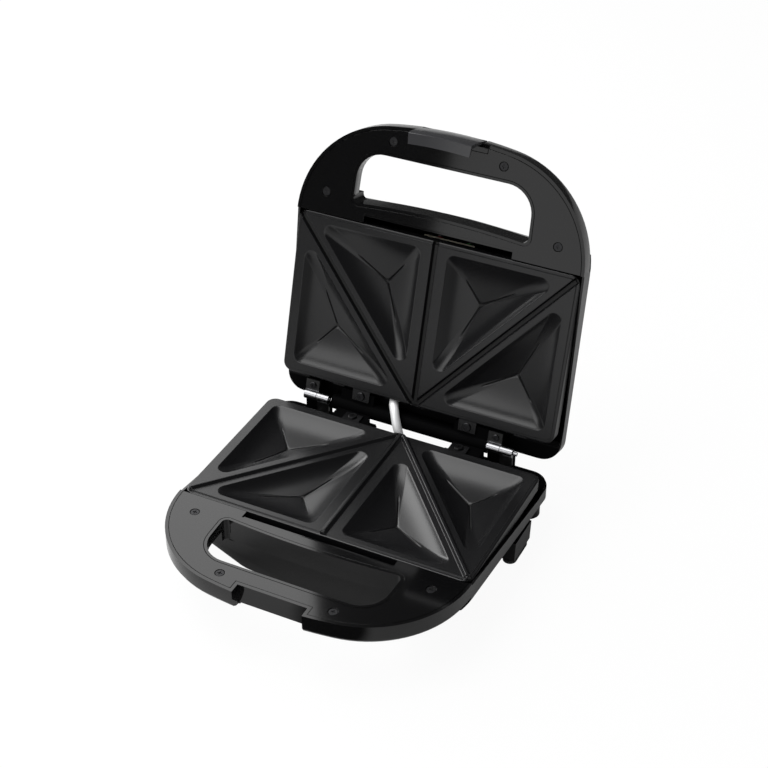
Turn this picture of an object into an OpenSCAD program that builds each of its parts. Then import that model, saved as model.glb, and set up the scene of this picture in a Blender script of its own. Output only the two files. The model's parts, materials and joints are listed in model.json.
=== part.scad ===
// Sandwich toaster with a hinged lid, shown open. Millimetres, feet on z = 0.

/* [Plates] */
// Width of a cooking plate
plate_w = 220; // [180:1:270]
// Depth of a cooking plate, front to back
plate_d = 126.5; // [104:0.5:156]
// Corner radius of a cooking plate
plate_corner_r = 7; // [5:0.5:12]
// Wall of the cast plates
plate_t = 2; // [1.6:0.1:2.4]
// Height of the skirt round a plate
skirt_h = 9; // [7:0.5:11]
// Distance from a pocket's rim to the plate's sides and rear edge
pocket_margin = 8; // [7:0.5:12]
// Distance from a front pocket's rim to the plate's front edge
pocket_front_margin = 6.5; // [6:0.5:12]
// Distance from a pocket's rim to the middle of a diagonal divider
pocket_diagonal_margin = 6.5; // [6:0.5:10]
// Distance from a front pocket's rim to the middle of the plate
pocket_middle_margin = 10; // [7:0.5:13]
// Corner radius of a pocket's rim
pocket_corner_r = 6; // [4:0.5:9]
// Depth of a pocket at its deepest point
pocket_depth = 10.3; // [8:0.1:12.4]
// Width of a cutting ridge at its foot
ridge_w = 5; // [4:0.1:6.5]
// Width of a cutting ridge at its crest
ridge_top_w = 2; // [1:0.1:3]
// Height of a cutting ridge
ridge_h = 2.2; // [1.5:0.1:3]

/* [Shells] */
// Distance that the shells stand out beside the plates
side_margin = 2; // [2:0.1:6]
// Height of the base shell, and of the lid shell
shell_h = 40; // [36:0.5:50]
// Length of the handles in front of the plates
handle_len = 77.75; // [72:0.25:95]
// Height of a handle
handle_h = 17.2; // [16:0.1:21]
// Radius of a handle's front edge, seen from above
handle_front_r = 325; // [290:1:400]
// Radius of a handle's corners, seen from above
handle_corner_r = 76; // [64:1:84]
// Distance from the plates' rear edge to the rear wall
rear_len = 18.75; // [18:0.25:26]
// Radius of the shells' rear corners
rear_corner_r = 15; // [12:1:22]
// Wall beside the plates
band_wall = 1.6; // [1.2:0.1:1.6]
// Wall of the handles
rim_wall = 2.4; // [2:0.1:3]
// Wall of the shells' bowls
bowl_wall = 2.5; // [2:0.1:3.5]
// Height of the feet under the base shell
foot_h = 8; // [6:0.5:14]

/* [Handles] */
// Thickness of a handle cover
cover_t = 2; // [1.6:0.1:2.4]
// Groove round a handle cover
cover_groove = 0.4; // [0.2:0.1:0.8]
// Half width of a finger opening at its rear edge
finger_half_w = 68; // [56:1:78]
// Distance from the plates to a finger opening
finger_offset = 14.25; // [13:0.25:20]
// Length of a finger opening, front to back
finger_len = 38.75; // [34:0.25:44]
// Width of the latch's notch in the base handle
notch_w = 52; // [50:1:64]
// Depth of the latch's notch
notch_depth = 9; // [8.5:0.5:12]

/* [Hinges and latch] */
// Angle that the lid opens to
lid_open = 106; // [90:1:110]
// Distance from the rear wall to the hinge axis
hinge_inset = 4.75; // [4.5:0.25:6]
// Outer diameter of a hinge barrel
barrel_d = 7; // [6:0.1:8]
// Diameter of a hinge pin
pin_d = 3; // [2.4:0.1:3.6]
// Distance between the two hinges
hinge_pitch = 150; // [132:1:170]
// Shift of both hinges to the left of the middle
hinge_shift = 3; // [0:0.5:4]
// Length of one hinge knuckle
knuckle_l = 9.8; // [8:0.1:12]
// Width of the latch
latch_w = 48; // [44:1:49]
// Diameter of the latch's pin
latch_pin_d = 2.5; // [2:0.1:3]

/* [Heating] */
// Diameter of a tubular heating element
element_d = 6.5; // [6:0.1:8]
// Distance from the parting plane to a heating element's middle
element_z = 17; // [16.5:0.1:19]
// Distance from the parting plane to a reflector tray's floor
reflector_z = 22; // [21:0.1:25]
// Diameter of the wire conduit
conduit_d = 6.8; // [5:0.1:7.4]

/* [Hidden] */
$fn = 48;

// Half of the gap between the closed halves
half_gap = 0.25;
// Clearance of pieces that only lie beside each other
clear = 0.4;
// Clearance round a pin that turns, and round a screw, on the radius
pin_clear = 0.04;
screw_clear = 0.05;
// Overhang of cuts past the faces they go through
over = 1;
// Longer than any side
reach = 400;
slice_t = 0.1;

half_w = plate_w / 2;
half_d = plate_d / 2;
side_x = half_w + side_margin;
front_y = -(half_d + handle_len);
rear_y = half_d + rear_len;
root_y = -(half_d + 0.75);
hinge_y = rear_y - hinge_inset;
parting_h = shell_h + foot_h;

// Rim of the bands beside the plates, and the crease under them, as depths below the parting plane
rim_front = 1.5;
rim_rear = 15.6;
rim_slope = 0.12;
rim_flat_y = root_y + (rim_rear - rim_front) / rim_slope;
crease_front = 14;
crease_slope = 0.083;
function crease(y) = crease_front + crease_slope * (y - root_y);
// How far the bowl's inside starts above its outside's crease
crease_raise = 0.2;

// Floor of a bowl: a front edge that swells forwards, and four round corners
bowl_front_r = 30;
bowl_front_x = side_x - 64;
bowl_swell_r = 500;
bowl_rear_r = 22;
bowl_rear = [side_x - 8 - bowl_rear_r, rear_y - bowl_rear_r];
base_floor_y = -half_d - 17;
lid_floor_y = -half_d - 11;

// Handles
finger_y = -(half_d + finger_offset);
finger_rear_r = 4;
finger_front_r = 20;
finger_rear_c = [finger_half_w - finger_rear_r, finger_y - finger_rear_r];
finger_front_c = [finger_half_w - 20.5, finger_y - finger_len + finger_front_r];
// The rear edge is an arc that swells towards the front
finger_swell = 3;
finger_swell_r = (pow(finger_rear_c.x, 2) + pow(finger_swell, 2)) / (2 * finger_swell);
finger_swell_c = [0, finger_y - finger_swell + finger_swell_r];
finger_swell_steps = 4;
finger_wall = 2;
// Height of an opening's wall, below which the underside of the handle is scooped away
finger_wall_h = 8;
finger_scoop = 6;
// How far the scoop starts inside the opening
finger_lap = 0.6;
partition_t = 2.2;
channel_h = handle_h - 4;
cover_z = half_gap + cover_t;
seat_z = cover_z + 0.1;
cover_slot_half_w = 58;
cover_slot_y = root_y - 5;
cover_lip_y = root_y - 7;
cover_lip_drop = 1;
notch_y = front_y + notch_depth;
notch_wall_w = notch_w + 2 * rim_wall;
latch_block_w = latch_w + 10;
latch_block_y = front_y + 7.3;

// Screws
screw_d = 2.5;
screw_head_d = 6.6;
screw_head_h = 1.2;
boss_d = 7.6;
cover_screw_l = 9;
plate_screw_l = 8;
hinge_screw_l = 6;
cover_screw_spots = [
    for (side = [-1, 1])
        for (spot = [[finger_half_w - 25.7, front_y + 13.7], [side_x - 22, finger_y - 3]])
            [side * spot.x, spot.y]
];

// Low step round a plate
edge_step_w = 2.8;
edge_step = 0.8;

// Rear deck, the wells beside the conduit and the blocks that hold the plates and hinges
deck_z = 13.6;
deck_t = rim_rear - deck_z;
deck_front_y = half_d + 1.35;
well_x = [-30.5, 35.5];
well_z = 20;
well_wall = 1.6;
block_half = [33, 60];
block_y = [half_d + 2.75, half_d + 12.75];
tab_z = 3.4;
tab_t = 1.7;
plate_screw_spot = [43.4, half_d + 5];
tab_w = 14;
tongue_x = 80;
tongue_w = 14;
tongue_l = 3.6;
tongue_z = 3.6;
tongue_t = 2;

// Hinges
barrel_r = barrel_d / 2;
hinge_x = [-hinge_pitch / 2 - hinge_shift, hinge_pitch / 2 - hinge_shift];
knuckle_gap = 0.4;
leaf_t = 2.6;
hinge_foot_t = 1.6;
hinge_foot_l = 9;
hinge_seat_y = [hinge_y - 8, hinge_y - 2];
hinge_screw_y = hinge_y - 5;
hinge_head_d = 5;
lid_screw_y = hinge_y - 7.5;
lid_head_d = 5.6;
knuckle_mid = (knuckle_l + knuckle_gap) / 2;
lid_leaf_z = 1.5;
lid_leaf_t = 2;
lid_leaf_l = 11.5;
lid_leaf_extra = 1.2;
hinge_wall_extra = 0.8;
// Length of each pin beyond its knuckles: the left one ends short of the roll
pin_tip = [0.6, 3];

// Lid roll that closes the back of the lid between the hinges
roll_r = 6;
roll_y = rear_y - 2.5;
roll_z = 7;
roll_x = [hinge_x[0] + knuckle_l + 1.2, hinge_x[1] - knuckle_l - 1.8];

// Latch: its pivot, and the plate's profile in the closed lid's own plane
latch_axis = [front_y + 3.4, 8];
latch_barrel_r = 3;
latch_lip_y = notch_y - 1.5;
latch_floor_z = 2.6;
latch_recess_z = 15.5;
latch_slack = 0.6;
latch_slot_l = 3.8;
// Ledge that the latch's lip catches under: its depth and its height
latch_ledge_l = 3.6;
latch_ledge_z = -15.6;
// Ends of the latch's pin in its block
latch_pin_end = 3.8;
// Shallow slot in the block's face
face_slot_x = [-24, 7];
face_slot_y = [front_y + 5, front_y + 7];
face_slot_depth = 0.6;
latch_profile = [
    [front_y + 1.6, latch_axis.y + 3.2], [front_y + 0.3, latch_axis.y + 2.2], [front_y - 0.5, 4],
    [front_y - 1.2, -6], [front_y - 1.1, -17], [front_y - 0.2, -18.7], [latch_lip_y, -18.7],
    [latch_lip_y, -17.3], [front_y + 1.8, -16.4], [front_y + 1, -6], [front_y + 1.6, 4.6],
    [latch_axis.x, 5.2], [latch_axis.x, latch_axis.y + 2.8]
];

// Feet: rounded posts under the base, and their rubber pads
foot_pad_h = 2.5;
foot_seat = 1;
foot_r = 5;
foot_pad_r = foot_r + 1.5;
foot_post_r = foot_r + 3;
foot_spots = [[side_x - 40, -half_d + 12], [side_x - 14, rear_y - 8]];
side_leg_y = [16, 45];
side_leg_x = [side_x - 12, side_x - 1.5];
side_leg_mid_x = (side_leg_x[0] + side_leg_x[1]) / 2;
// A side leg's top, and how far it widens there to the outside and to the inside
side_leg_top = [-28, 0.6, 12];

// Heating
element_r = element_d / 2;
element_bend = 15;
element_half = [half_w - 30, half_d - 23];
element_gap = 14;
terminal_r = 1.5;
terminal_l = 8;
reflector_t = 1;
reflector_half = [half_w - 16, half_d - 7];
reflector_wall_h = 6;
reflector_post_z = bowl_wall - shell_h;
reflector_post_r = 4;
reflector_post = [element_half.x - 25, element_half.y - 22];
reflector_slots = 4;
reflector_slot = [3, 24];
reflector_slot_pitch = 9;
clamp_spots = [for (sx = [-1, 1]) for (sy = [-1, 1]) [sx * 42, sy * element_half.y]];

// Vents in the floor
vents_each_side = 3;
vent_pitch = 9;
vent_w = 3;
vent_y = [-30, 0];

// Parts inside
gland_spot = [-60, 31];
gland_bore_r = 3.7;
gland_sleeve_r = gland_bore_r + 2;
terminal_spot = [-52, element_half.y - 10.25];
terminal_size = [24, 14, 11];
terminal_hole_r = 1.8;
terminal_pitch = 7;
fuse_spot = [30, 25, -reflector_z - 4];
fuse_r = 2.2;
fuse_l = 14;
fuse_lead_r = 0.7;
fuse_lead_l = 8;
thermostat_y = 25;
thermostat_r = [8, 6.5];
thermostat_h = [2, 8];
thermostat_tab_x = 3.5;
wire_r = 1.1;
lens_r = 4;
lens_flange = 1.2;
lens_dome_r = 6.4;
lens_spots = [[-12, -52], [12, -52]];
lamp_board = [40, 14, 1.6];
lamp_r = 2.4;
lamp_h = 8;

// Conduit's centre line with the lid open, from the lid to the base, measured from the hinge axis
conduit_from_hinge = [
    [-19.5, 26.25, 3], [-19.5, 19.25, 5], [-19.3, 13.25, 7.4], [-17.8, 7.95, 8], [-15, 3.15, 6.4],
    [-12.2, -0.85, 3], [-9.6, -3.85, -1.5], [-7.2, -5.65, -6.5], [-5.2, -6.65, -12],
    [-4.4, -6.95, -18], [-4.4, -6.95, -27]
];
conduit_route = [for (p = conduit_from_hinge) p + [0, hinge_y, 0]];
conduit_lid_y = half_d + 3.8;

// Middle of the open toaster, front to back
open_rear_y = hinge_y - (hinge_y - lid_floor_y) * cos(lid_open) + shell_h * sin(lid_open);
mid_y = (front_y + open_rear_y) / 2;

function arc(c, r, a0, a1, n) =
    [for (i = [0 : n]) c + r * [cos(a0 + (a1 - a0) * i / n), sin(a0 + (a1 - a0) * i / n)]];
function reversed(p) = [for (i = [len(p) - 1 : -1 : 0]) p[i]];
function mirrored(p) = [for (q = reversed(p)) [-q.x, q.y]];

// Outline of a shell seen from above, drawn in by d
front_c = [0, front_y + handle_front_r];
corner_x = side_x - handle_corner_r;
corner_c = [corner_x, front_c.y - sqrt(pow(handle_front_r - handle_corner_r, 2) - corner_x * corner_x)];
rear_c = [side_x - rear_corner_r, rear_y - rear_corner_r];
meet_angle = atan2(corner_c.y - front_c.y, corner_c.x);
function right_outline(d) = concat(
    arc(front_c, handle_front_r - d, -90, meet_angle, 7),
    arc(corner_c, handle_corner_r - d, meet_angle, 0, 20),
    arc(rear_c, rear_corner_r - d, 0, 90, 10)
);
function outline(d) = concat(right_outline(d), mirrored(right_outline(d)));

module prism(z0, z1) {
    translate([0, 0, z0])
        linear_extrude(z1 - z0)
            children();
}

// A profile drawn in y and z, carried across the whole width
module across(half = reach) {
    rotate([90, 0, 90])
        translate([0, 0, -half])
            linear_extrude(2 * half)
                children();
}

module block(x, y, z) {
    translate([x[0], y[0], z[0]])
        cube([x[1] - x[0], y[1] - y[0], z[1] - z[0]]);
}

// A copy on each side of the middle
module both_sides() {
    children();
    mirror([1, 0, 0])
        children();
}

// Right half of the finger opening's outline, grown by g: two round corners and the swelling edge
function finger_half(g) =
    let (run = finger_rear_c - finger_front_c, front_r = finger_front_r + g, rear_r = finger_rear_r + g,
        side = atan2(run.y, run.x) - acos((front_r - rear_r) / norm(run)),
        swell = asin(finger_rear_c.x / finger_swell_r), n = finger_swell_steps)
    concat(
        arc(finger_front_c, front_r, -90, side, 9), arc(finger_rear_c, rear_r, side, 90, 9),
        arc(finger_swell_c, finger_swell_r - g, swell * (1 - 1 / n) - 90, swell / (2 * n) - 90, n - 1)
    );

module finger_outline(grow) {
    polygon(concat(finger_half(grow), mirrored(finger_half(grow))));
}

// A bar with round ends
module round_bar(a, b, r) {
    across = r * [a.y - b.y, b.x - a.x] / norm(b - a);
    translate(a)
        circle(r);
    translate(b)
        circle(r);
    polygon([a + across, b + across, b - across, a - across]);
}

module in_front_of(y) {
    intersection() {
        children();
        translate([-reach, y - reach])
            square([2 * reach, reach]);
    }
}

// Floor of a bowl seen from above, with its front edge at floor_y
module bowl_floor(floor_y, inset) {
    swell_c = [0, floor_y + bowl_swell_r];
    corner_y = swell_c.y - sqrt(pow(bowl_swell_r - bowl_front_r, 2) - pow(bowl_front_x, 2));
    edge = arc(swell_c, bowl_swell_r - inset, -90 + 1, -90 + asin(bowl_front_x / bowl_swell_r), 4);
    hull() {
        polygon(concat(edge, mirrored(edge)));
        both_sides() {
            translate([bowl_front_x, corner_y])
                circle(bowl_front_r - inset);
            translate(bowl_rear)
                circle(bowl_rear_r - inset);
        }
    }
}

// Bowl of a shell: from the crease down to its floor
module bowl(inset, bottom_z, front, raise, floor_y) {
    crease_strip = [
        [front, raise - crease(front)], [rear_y + over, raise - crease(rear_y + over)],
        [rear_y + over, raise - crease(rear_y + over) + slice_t],
        [front, raise - crease(front) + slice_t]
    ];
    hull($fn = 40) {
        intersection() {
            prism(-reach, reach)
                polygon(outline(inset));
            across()
                polygon(crease_strip);
        }
        translate([0, 0, bottom_z])
            linear_extrude(slice_t)
                bowl_floor(floor_y, inset);
    }
}

module handle_body() {
    slices = [[0, -handle_h + 6, handle_h - 6 - half_gap], [1.6, -handle_h + 3, slice_t],
        [4.5, -handle_h + 1, slice_t], [9, -handle_h, slice_t]];
    hull() {
        for (s = slices)
            translate([0, 0, s[1]])
                linear_extrude(s[2])
                    in_front_of(root_y)
                        polygon(outline(s[0]));
    }
}

// Wall beside and behind the plate, between its rim and the crease
module band() {
    intersection() {
        prism(-reach, reach)
            polygon(outline(0));
        across()
            polygon([
                [root_y - over, -rim_front], [root_y, -rim_front], [rim_flat_y, -rim_rear],
                [rear_y + over, -rim_rear], [rear_y + over, -crease(rear_y + over) - slice_t],
                [root_y - over, -crease(root_y - over)]
            ]);
    }
}

module bowl_space(floor_y) {
    front = finger_y + partition_t;
    bowl(bowl_wall, bowl_wall - shell_h, front, crease_raise, floor_y);
    for (part = [[rim_wall, front, root_y], [band_wall, root_y - slice_t, rear_y]])
        intersection() {
            prism(-reach, reach)
                polygon(outline(part[0]));
            across()
                polygon([
                    [part[1], over], [part[2], over], [part[2], -crease(part[2])],
                    [part[1], -crease(part[1])]
                ]);
        }
}

// Hollow of a handle, with the bosses for the cover's screws left standing in it
module handle_space(block_w, block_y_end) {
    module keep(wall) {
        finger_outline(wall);
        translate([-block_w / 2, front_y - over])
            square([block_w, block_y_end - front_y + over]);
    }
    module hollow(z0, z1, y_end, wall) {
        prism(z0, z1)
            difference() {
                in_front_of(y_end)
                    polygon(outline(rim_wall));
                keep(wall);
            }
    }
    scoop_top = finger_wall - finger_wall_h;
    hollow_y = finger_y - finger_swell;
    difference() {
        union() {
            hollow(-seat_z, over, root_y, finger_wall);
            hollow(scoop_top, -seat_z + slice_t, hollow_y, finger_wall);
            hollow(-channel_h, scoop_top + slice_t, hollow_y, finger_wall + finger_scoop);
        }
        for (spot = cover_screw_spots)
            translate([spot.x, spot.y, -handle_h])
                cylinder(d = boss_d, h = handle_h - seat_z);
    }
}

// Finger opening, with the underside scooped away around its front and sides
module finger_opening() {
    prism(-handle_h - over, over)
        finger_outline(0);
    hull() {
        for (s = [[-finger_lap, -finger_wall_h], [finger_scoop, -handle_h - slice_t]])
            prism(s[1], s[1] + slice_t)
                in_front_of(finger_y - finger_swell - 2 * over)
                    finger_outline(s[0]);
    }
}

// What the base shell and the lid shell share, drawn as the base
module shell_half(block_w, block_y_end, floor_y) {
    difference() {
        union() {
            bowl(0, -shell_h, finger_y + crease_raise, 0, floor_y);
            band();
            handle_body();
        }
        bowl_space(floor_y);
        handle_space(block_w, block_y_end);
        finger_opening();
    }
    intersection() {
        prism(-rim_rear, -deck_z)
            polygon(outline(band_wall / 2));
        block([-reach, reach], [deck_front_y, reach], [-reach, reach]);
    }
    both_sides() {
        block(block_half, block_y, [-deck_z - slice_t, -tab_z]);
        block([tongue_x - tongue_w / 2, tongue_x + tongue_w / 2], [finger_y + over, root_y - 1],
            [-channel_h, -tongue_z - tongue_t]);
    }
}

module shell_screw_holes() {
    for (spot = cover_screw_spots)
        translate([spot.x, spot.y, -seat_z - cover_screw_l])
            cylinder(r = screw_d / 2 + screw_clear, h = cover_screw_l + over);
    both_sides()
        translate([plate_screw_spot.x, plate_screw_spot.y, -tab_z - plate_screw_l])
            cylinder(r = screw_d / 2 + screw_clear, h = plate_screw_l + over);
}

// Screw with a cross recess; its head rests on z = 0
module screw(length) {
    recess_w = 0.8;
    recess_l = 3.4;
    translate([0, 0, -length])
        cylinder(d = screw_d, h = length + 0.5);
    difference() {
        cylinder(d = screw_head_d, h = screw_head_h);
        for (turn = [0, 90])
            rotate([0, 0, turn])
                translate([-recess_l / 2, -recess_w / 2, screw_head_h / 2])
                    cube([recess_l, recess_w, screw_head_h]);
    }
}

module handle_cover(block_w, block_y_end) {
    difference() {
        prism(-cover_z, -half_gap)
            difference() {
                in_front_of(root_y - 0.3)
                    polygon(outline(rim_wall + cover_groove));
                finger_outline(finger_wall + cover_groove);
                translate([-block_w / 2 - cover_groove, front_y - over])
                    square([block_w + 2 * cover_groove, block_y_end - front_y + over + cover_groove]);
                translate([-cover_slot_half_w, cover_slot_y])
                    square([2 * cover_slot_half_w, 2 * over - root_y]);
            }
        block([-cover_slot_half_w, cover_slot_half_w], [cover_lip_y, 0],
            [-half_gap - cover_lip_drop, over]);
        for (spot = cover_screw_spots)
            translate(spot) {
                cylinder(r = screw_d / 2 + screw_clear * 3, h = 2 * reach, center = true);
                translate([0, 0, -half_gap - screw_head_h - 0.2])
                    cylinder(d = screw_head_d + clear, h = reach);
            }
    }
}

module cover_screws() {
    for (spot = cover_screw_spots)
        translate([spot.x, spot.y, -half_gap - screw_head_h - 0.2])
            screw(cover_screw_l);
}

module plate_screws() {
    both_sides()
        translate([plate_screw_spot.x, plate_screw_spot.y, -tab_z + tab_t])
            screw(plate_screw_l);
}

// Rectangle with round corners, x and y being half its sides
module round_rectangle(x, y, r) {
    for (sx = [-1, 1])
        for (sy = [-1, 1])
            translate([sx * (x - r), sy * (y - r)])
                circle(r);
    square([2 * x, 2 * (y - r)], center = true);
    square([2 * (x - r), 2 * y], center = true);
}

// Plate outline seen from above, drawn in by d
module plate_outline(d) {
    round_rectangle(half_w - d, half_d - d, plate_corner_r - min(d, plate_corner_r - 1));
}

// The diagonal divider runs from the middle of the rear edge to a front corner
diagonal = [half_w, -plate_d];
across_diagonal = [plate_d, half_w] / norm(diagonal);
function off_diagonal(m) = across_diagonal * [0, half_d] + m;
function diagonal_x(m, y) = (off_diagonal(m) - across_diagonal.y * y) / across_diagonal.x;
function diagonal_y(m, x) = (off_diagonal(m) - across_diagonal.x * x) / across_diagonal.y;

// Corners of the rear outer pocket and of the front inner one, anticlockwise from above
outer_pocket = [
    [half_w - pocket_margin, diagonal_y(pocket_diagonal_margin, half_w - pocket_margin)],
    [half_w - pocket_margin, half_d - pocket_margin],
    [diagonal_x(pocket_diagonal_margin, half_d - pocket_margin), half_d - pocket_margin]
];
inner_pocket = [
    [pocket_middle_margin, pocket_front_margin - half_d],
    [diagonal_x(-pocket_diagonal_margin, pocket_front_margin - half_d), pocket_front_margin - half_d],
    [pocket_middle_margin, diagonal_y(-pocket_diagonal_margin, pocket_middle_margin)]
];
// Deepest point, against the triangle's centroid
outer_nudge = [-0.2, -0.7];
inner_nudge = [-1.5, 1.6];
function centroid(t) = (t[0] + t[1] + t[2]) / 3;
function unit(v) = v / norm(v);

// Rim of a pocket: its triangle with round corners, n + 1 points to a corner
function corner_arc(a, b, c, r, n) =
    let (u = unit(a - b), v = unit(c - b), half = acos(u * v) / 2, w = unit(u + v),
        o = b + w * r / sin(half), start = atan2(-w.y, -w.x) - (90 - half))
    arc(o, r, start, start + 2 * (90 - half), n);
function pocket_rim(t, r, n) = concat(
    corner_arc(t[2], t[0], t[1], r, n), corner_arc(t[0], t[1], t[2], r, n),
    corner_arc(t[1], t[2], t[0], r, n)
);

// Wall of a pocket: how far in towards the deepest point, and how deep there, as shares
pocket_wall = [[0, 0], [0.04, 0.1], [0.1, 0.28], [0.19, 0.48], [0.32, 0.65], [0.55, 0.81]];
pocket_arc_steps = 6;

module pocket(t, nudge, rim_r, depth, top) {
    rim = pocket_rim(t, rim_r, pocket_arc_steps);
    n = len(rim);
    low = centroid(t) + nudge;
    rings = concat(
        [[for (p = rim) [p.x, p.y, top]]],
        [for (w = pocket_wall) if (-depth * w[1] < top)
            [for (p = rim) let (q = p + (low - p) * w[0]) [q.x, q.y, -depth * w[1]]]]
    );
    count = len(rings);
    points = concat([for (ring = rings) each ring], [[low.x, low.y, -depth]]);
    sides = [
        for (k = [0 : count - 2])
            for (i = [0 : n - 1])
                let (j = (i + 1) % n)
                    each [[k * n + i, k * n + j, (k + 1) * n + j],
                        [k * n + i, (k + 1) * n + j, (k + 1) * n + i]]
    ];
    tip = [for (i = [0 : n - 1]) [(count - 1) * n + i, (count - 1) * n + (i + 1) % n, count * n]];
    polyhedron(points, concat([reversed([for (i = [0 : n - 1]) i])], sides, tip));
}

// A triangle with its sides moved out by g
function grown(t, g) = [
    for (i = [0 : 2])
        let (u = unit(t[(i + 2) % 3] - t[i]), v = unit(t[(i + 1) % 3] - t[i]), half = acos(u * v) / 2)
            t[i] - unit(u + v) * g / sin(half)
];

module pockets(grow, depth, top) {
    both_sides() {
        pocket(grown(outer_pocket, grow), outer_nudge, pocket_corner_r + grow, depth, top);
        pocket(grown(inner_pocket, grow), inner_nudge, pocket_corner_r + grow, depth, top);
    }
}

// Trapezium bar along a divider: widths and levels of its foot and its crest
module divider_bar(w, z, length) {
    translate([0, plate_corner_r, 0])
        rotate([90, 0, 0])
            linear_extrude(length + 2 * plate_corner_r)
                polygon([[-w[0] / 2, z[0]], [w[0] / 2, z[0]], [w[1] / 2, z[1]], [-w[1] / 2, z[1]]]);
}

// Bars along the two diagonals and along the middle, cut off at a margin from the plate's edge
module dividers(w, z, margin) {
    intersection() {
        translate([0, half_d, 0]) {
            divider_bar(w, z, plate_d);
            both_sides()
                rotate([0, 0, 90 + atan2(diagonal.y, diagonal.x)])
                    divider_bar(w, z, norm(diagonal));
        }
        prism(-reach, reach)
            plate_outline(margin);
    }
}

// A plate with its face half a gap below the parting plane, drawn as the lower one
module plate_half(grooved) {
    top = -half_gap;
    groove_h = ridge_h + 0.5;
    groove_foot_w = 2.5;
    groove_top = half_gap / 2;
    backing_w = ridge_w + 5.5;
    backing_z = [top - plate_t - groove_h, top - plate_t / 2];
    ridge_foot_z = top - plate_t / 2;
    difference() {
        union() {
            prism(top - plate_t, top)
                plate_outline(0);
            prism(top - skirt_h, top - plate_t + slice_t)
                difference() {
                    plate_outline(0);
                    plate_outline(plate_t);
                }
            translate([0, 0, top])
                pockets(plate_t * 0.8, pocket_depth + plate_t, -plate_t / 2);
            if (grooved)
                dividers([backing_w, backing_w], backing_z, plate_t / 2);
            if (!grooved)
                dividers([ridge_w, ridge_top_w], [ridge_foot_z, top + ridge_h], 0.5);
            both_sides() {
                block([plate_screw_spot.x - tab_w / 2, plate_screw_spot.x + tab_w / 2],
                    [half_d - plate_t, half_d + 9], [-tab_z, -tab_z + tab_t]);
                block([tongue_x - tongue_w / 2, tongue_x + tongue_w / 2],
                    [-half_d - tongue_l, -half_d + plate_t], [-tongue_z - tongue_t + 0.1, -tongue_z]);
            }
        }
        translate([0, 0, top])
            pockets(0, pocket_depth, over);
        prism(top - edge_step, over)
            difference() {
                plate_outline(-over);
                plate_outline(edge_step_w);
            }
        if (grooved)
            dividers([groove_foot_w, ridge_w + 1], [top - groove_h, top + groove_top], -over);
        both_sides()
            translate([plate_screw_spot.x, plate_screw_spot.y, -reach])
                cylinder(r = screw_d / 2 + 3 * screw_clear, h = 2 * reach);
    }
}

module element_half_loop() {
    module bend() {
        rotate_extrude(angle = 90)
            translate([element_bend, 0])
                circle(element_r);
    }
    x = element_half.x - element_bend;
    y = element_half.y - element_bend;
    translate([x, y, 0])
        bend();
    translate([x, -y, 0])
        rotate([0, 0, -90])
            bend();
    translate([element_half.x, -y, 0])
        rotate([-90, 0, 0])
            cylinder(r = element_r, h = 2 * y);
    translate([0, -element_half.y, 0])
        rotate([0, 90, 0])
            cylinder(r = element_r, h = x);
    translate([element_gap, element_half.y, 0])
        rotate([0, 90, 0])
            cylinder(r = element_r, h = x - element_gap);
    translate([element_gap - terminal_l, element_half.y, 0])
        rotate([0, 90, 0])
            cylinder(r = terminal_r, h = terminal_l + over);
}

module element() {
    translate([0, 0, -element_z])
        both_sides()
            element_half_loop();
}

// Saddles that stand on the reflector and hold the element
module element_clamps() {
    saddle_l = 8;
    saddle_w = element_d + 5;
    difference() {
        for (spot = clamp_spots)
            block([spot.x - saddle_l / 2, spot.x + saddle_l / 2],
                [spot.y - saddle_w / 2, spot.y + saddle_w / 2],
                [-reflector_z + reflector_t, -element_z + element_r + 0.9]);
        for (sy = [-1, 1])
            translate([-reach / 2, sy * element_half.y, -element_z])
                rotate([0, 90, 0])
                    cylinder(r = element_r + screw_clear, h = reach);
    }
}

module reflector() {
    difference() {
        prism(-reflector_z, reflector_wall_h - reflector_z)
            reflector_outline(0);
        prism(reflector_t - reflector_z, over)
            reflector_outline(reflector_t);
        both_sides()
            reflector_slots();
    }
    for (sx = [-1, 1])
        for (sy = [-1, 1])
            translate([sx * reflector_post.x, sy * reflector_post.y, reflector_post_z])
                cylinder(r = reflector_post_r, h = -reflector_z - reflector_post_z + slice_t);
}

module reflector_outline(d) {
    round_rectangle(reflector_half.x - d, reflector_half.y - d, plate_corner_r - plate_t - d / 2);
}

// Vent slots in the reflector's floor
module reflector_slots() {
    for (i = [0 : reflector_slots - 1])
        let (x = 10 + i * reflector_slot_pitch)
            block([x, x + reflector_slot.x], [-reflector_slot.y / 2, reflector_slot.y / 2],
                [-reach, over - reflector_z]);
}

// Closed lid coordinates to where the open lid stands
module on_lid() {
    translate([0, hinge_y, 0])
        rotate([-lid_open, 0, 0])
            translate([0, -hinge_y, 0])
                children();
}

// Base coordinates, with the parting plane on z = 0, to the toaster's own
module placed() {
    translate([0, -mid_y, parting_h])
        children();
}
module base_part() {
    placed()
        children();
}
module lid_part() {
    placed()
        on_lid()
            children();
}
module flipped() {
    mirror([0, 0, 1])
        children();
}

module foot_post(z0, z1, grow) {
    both_sides() {
        for (spot = foot_spots)
            translate([spot.x, spot.y, z0])
                cylinder(r = foot_pad_r + grow, h = z1 - z0);
        prism(z0, z1)
            round_bar([side_leg_mid_x, side_leg_y[0] + foot_r], [side_leg_mid_x, side_leg_y[1] - foot_r],
                foot_r + grow);
    }
}

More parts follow.
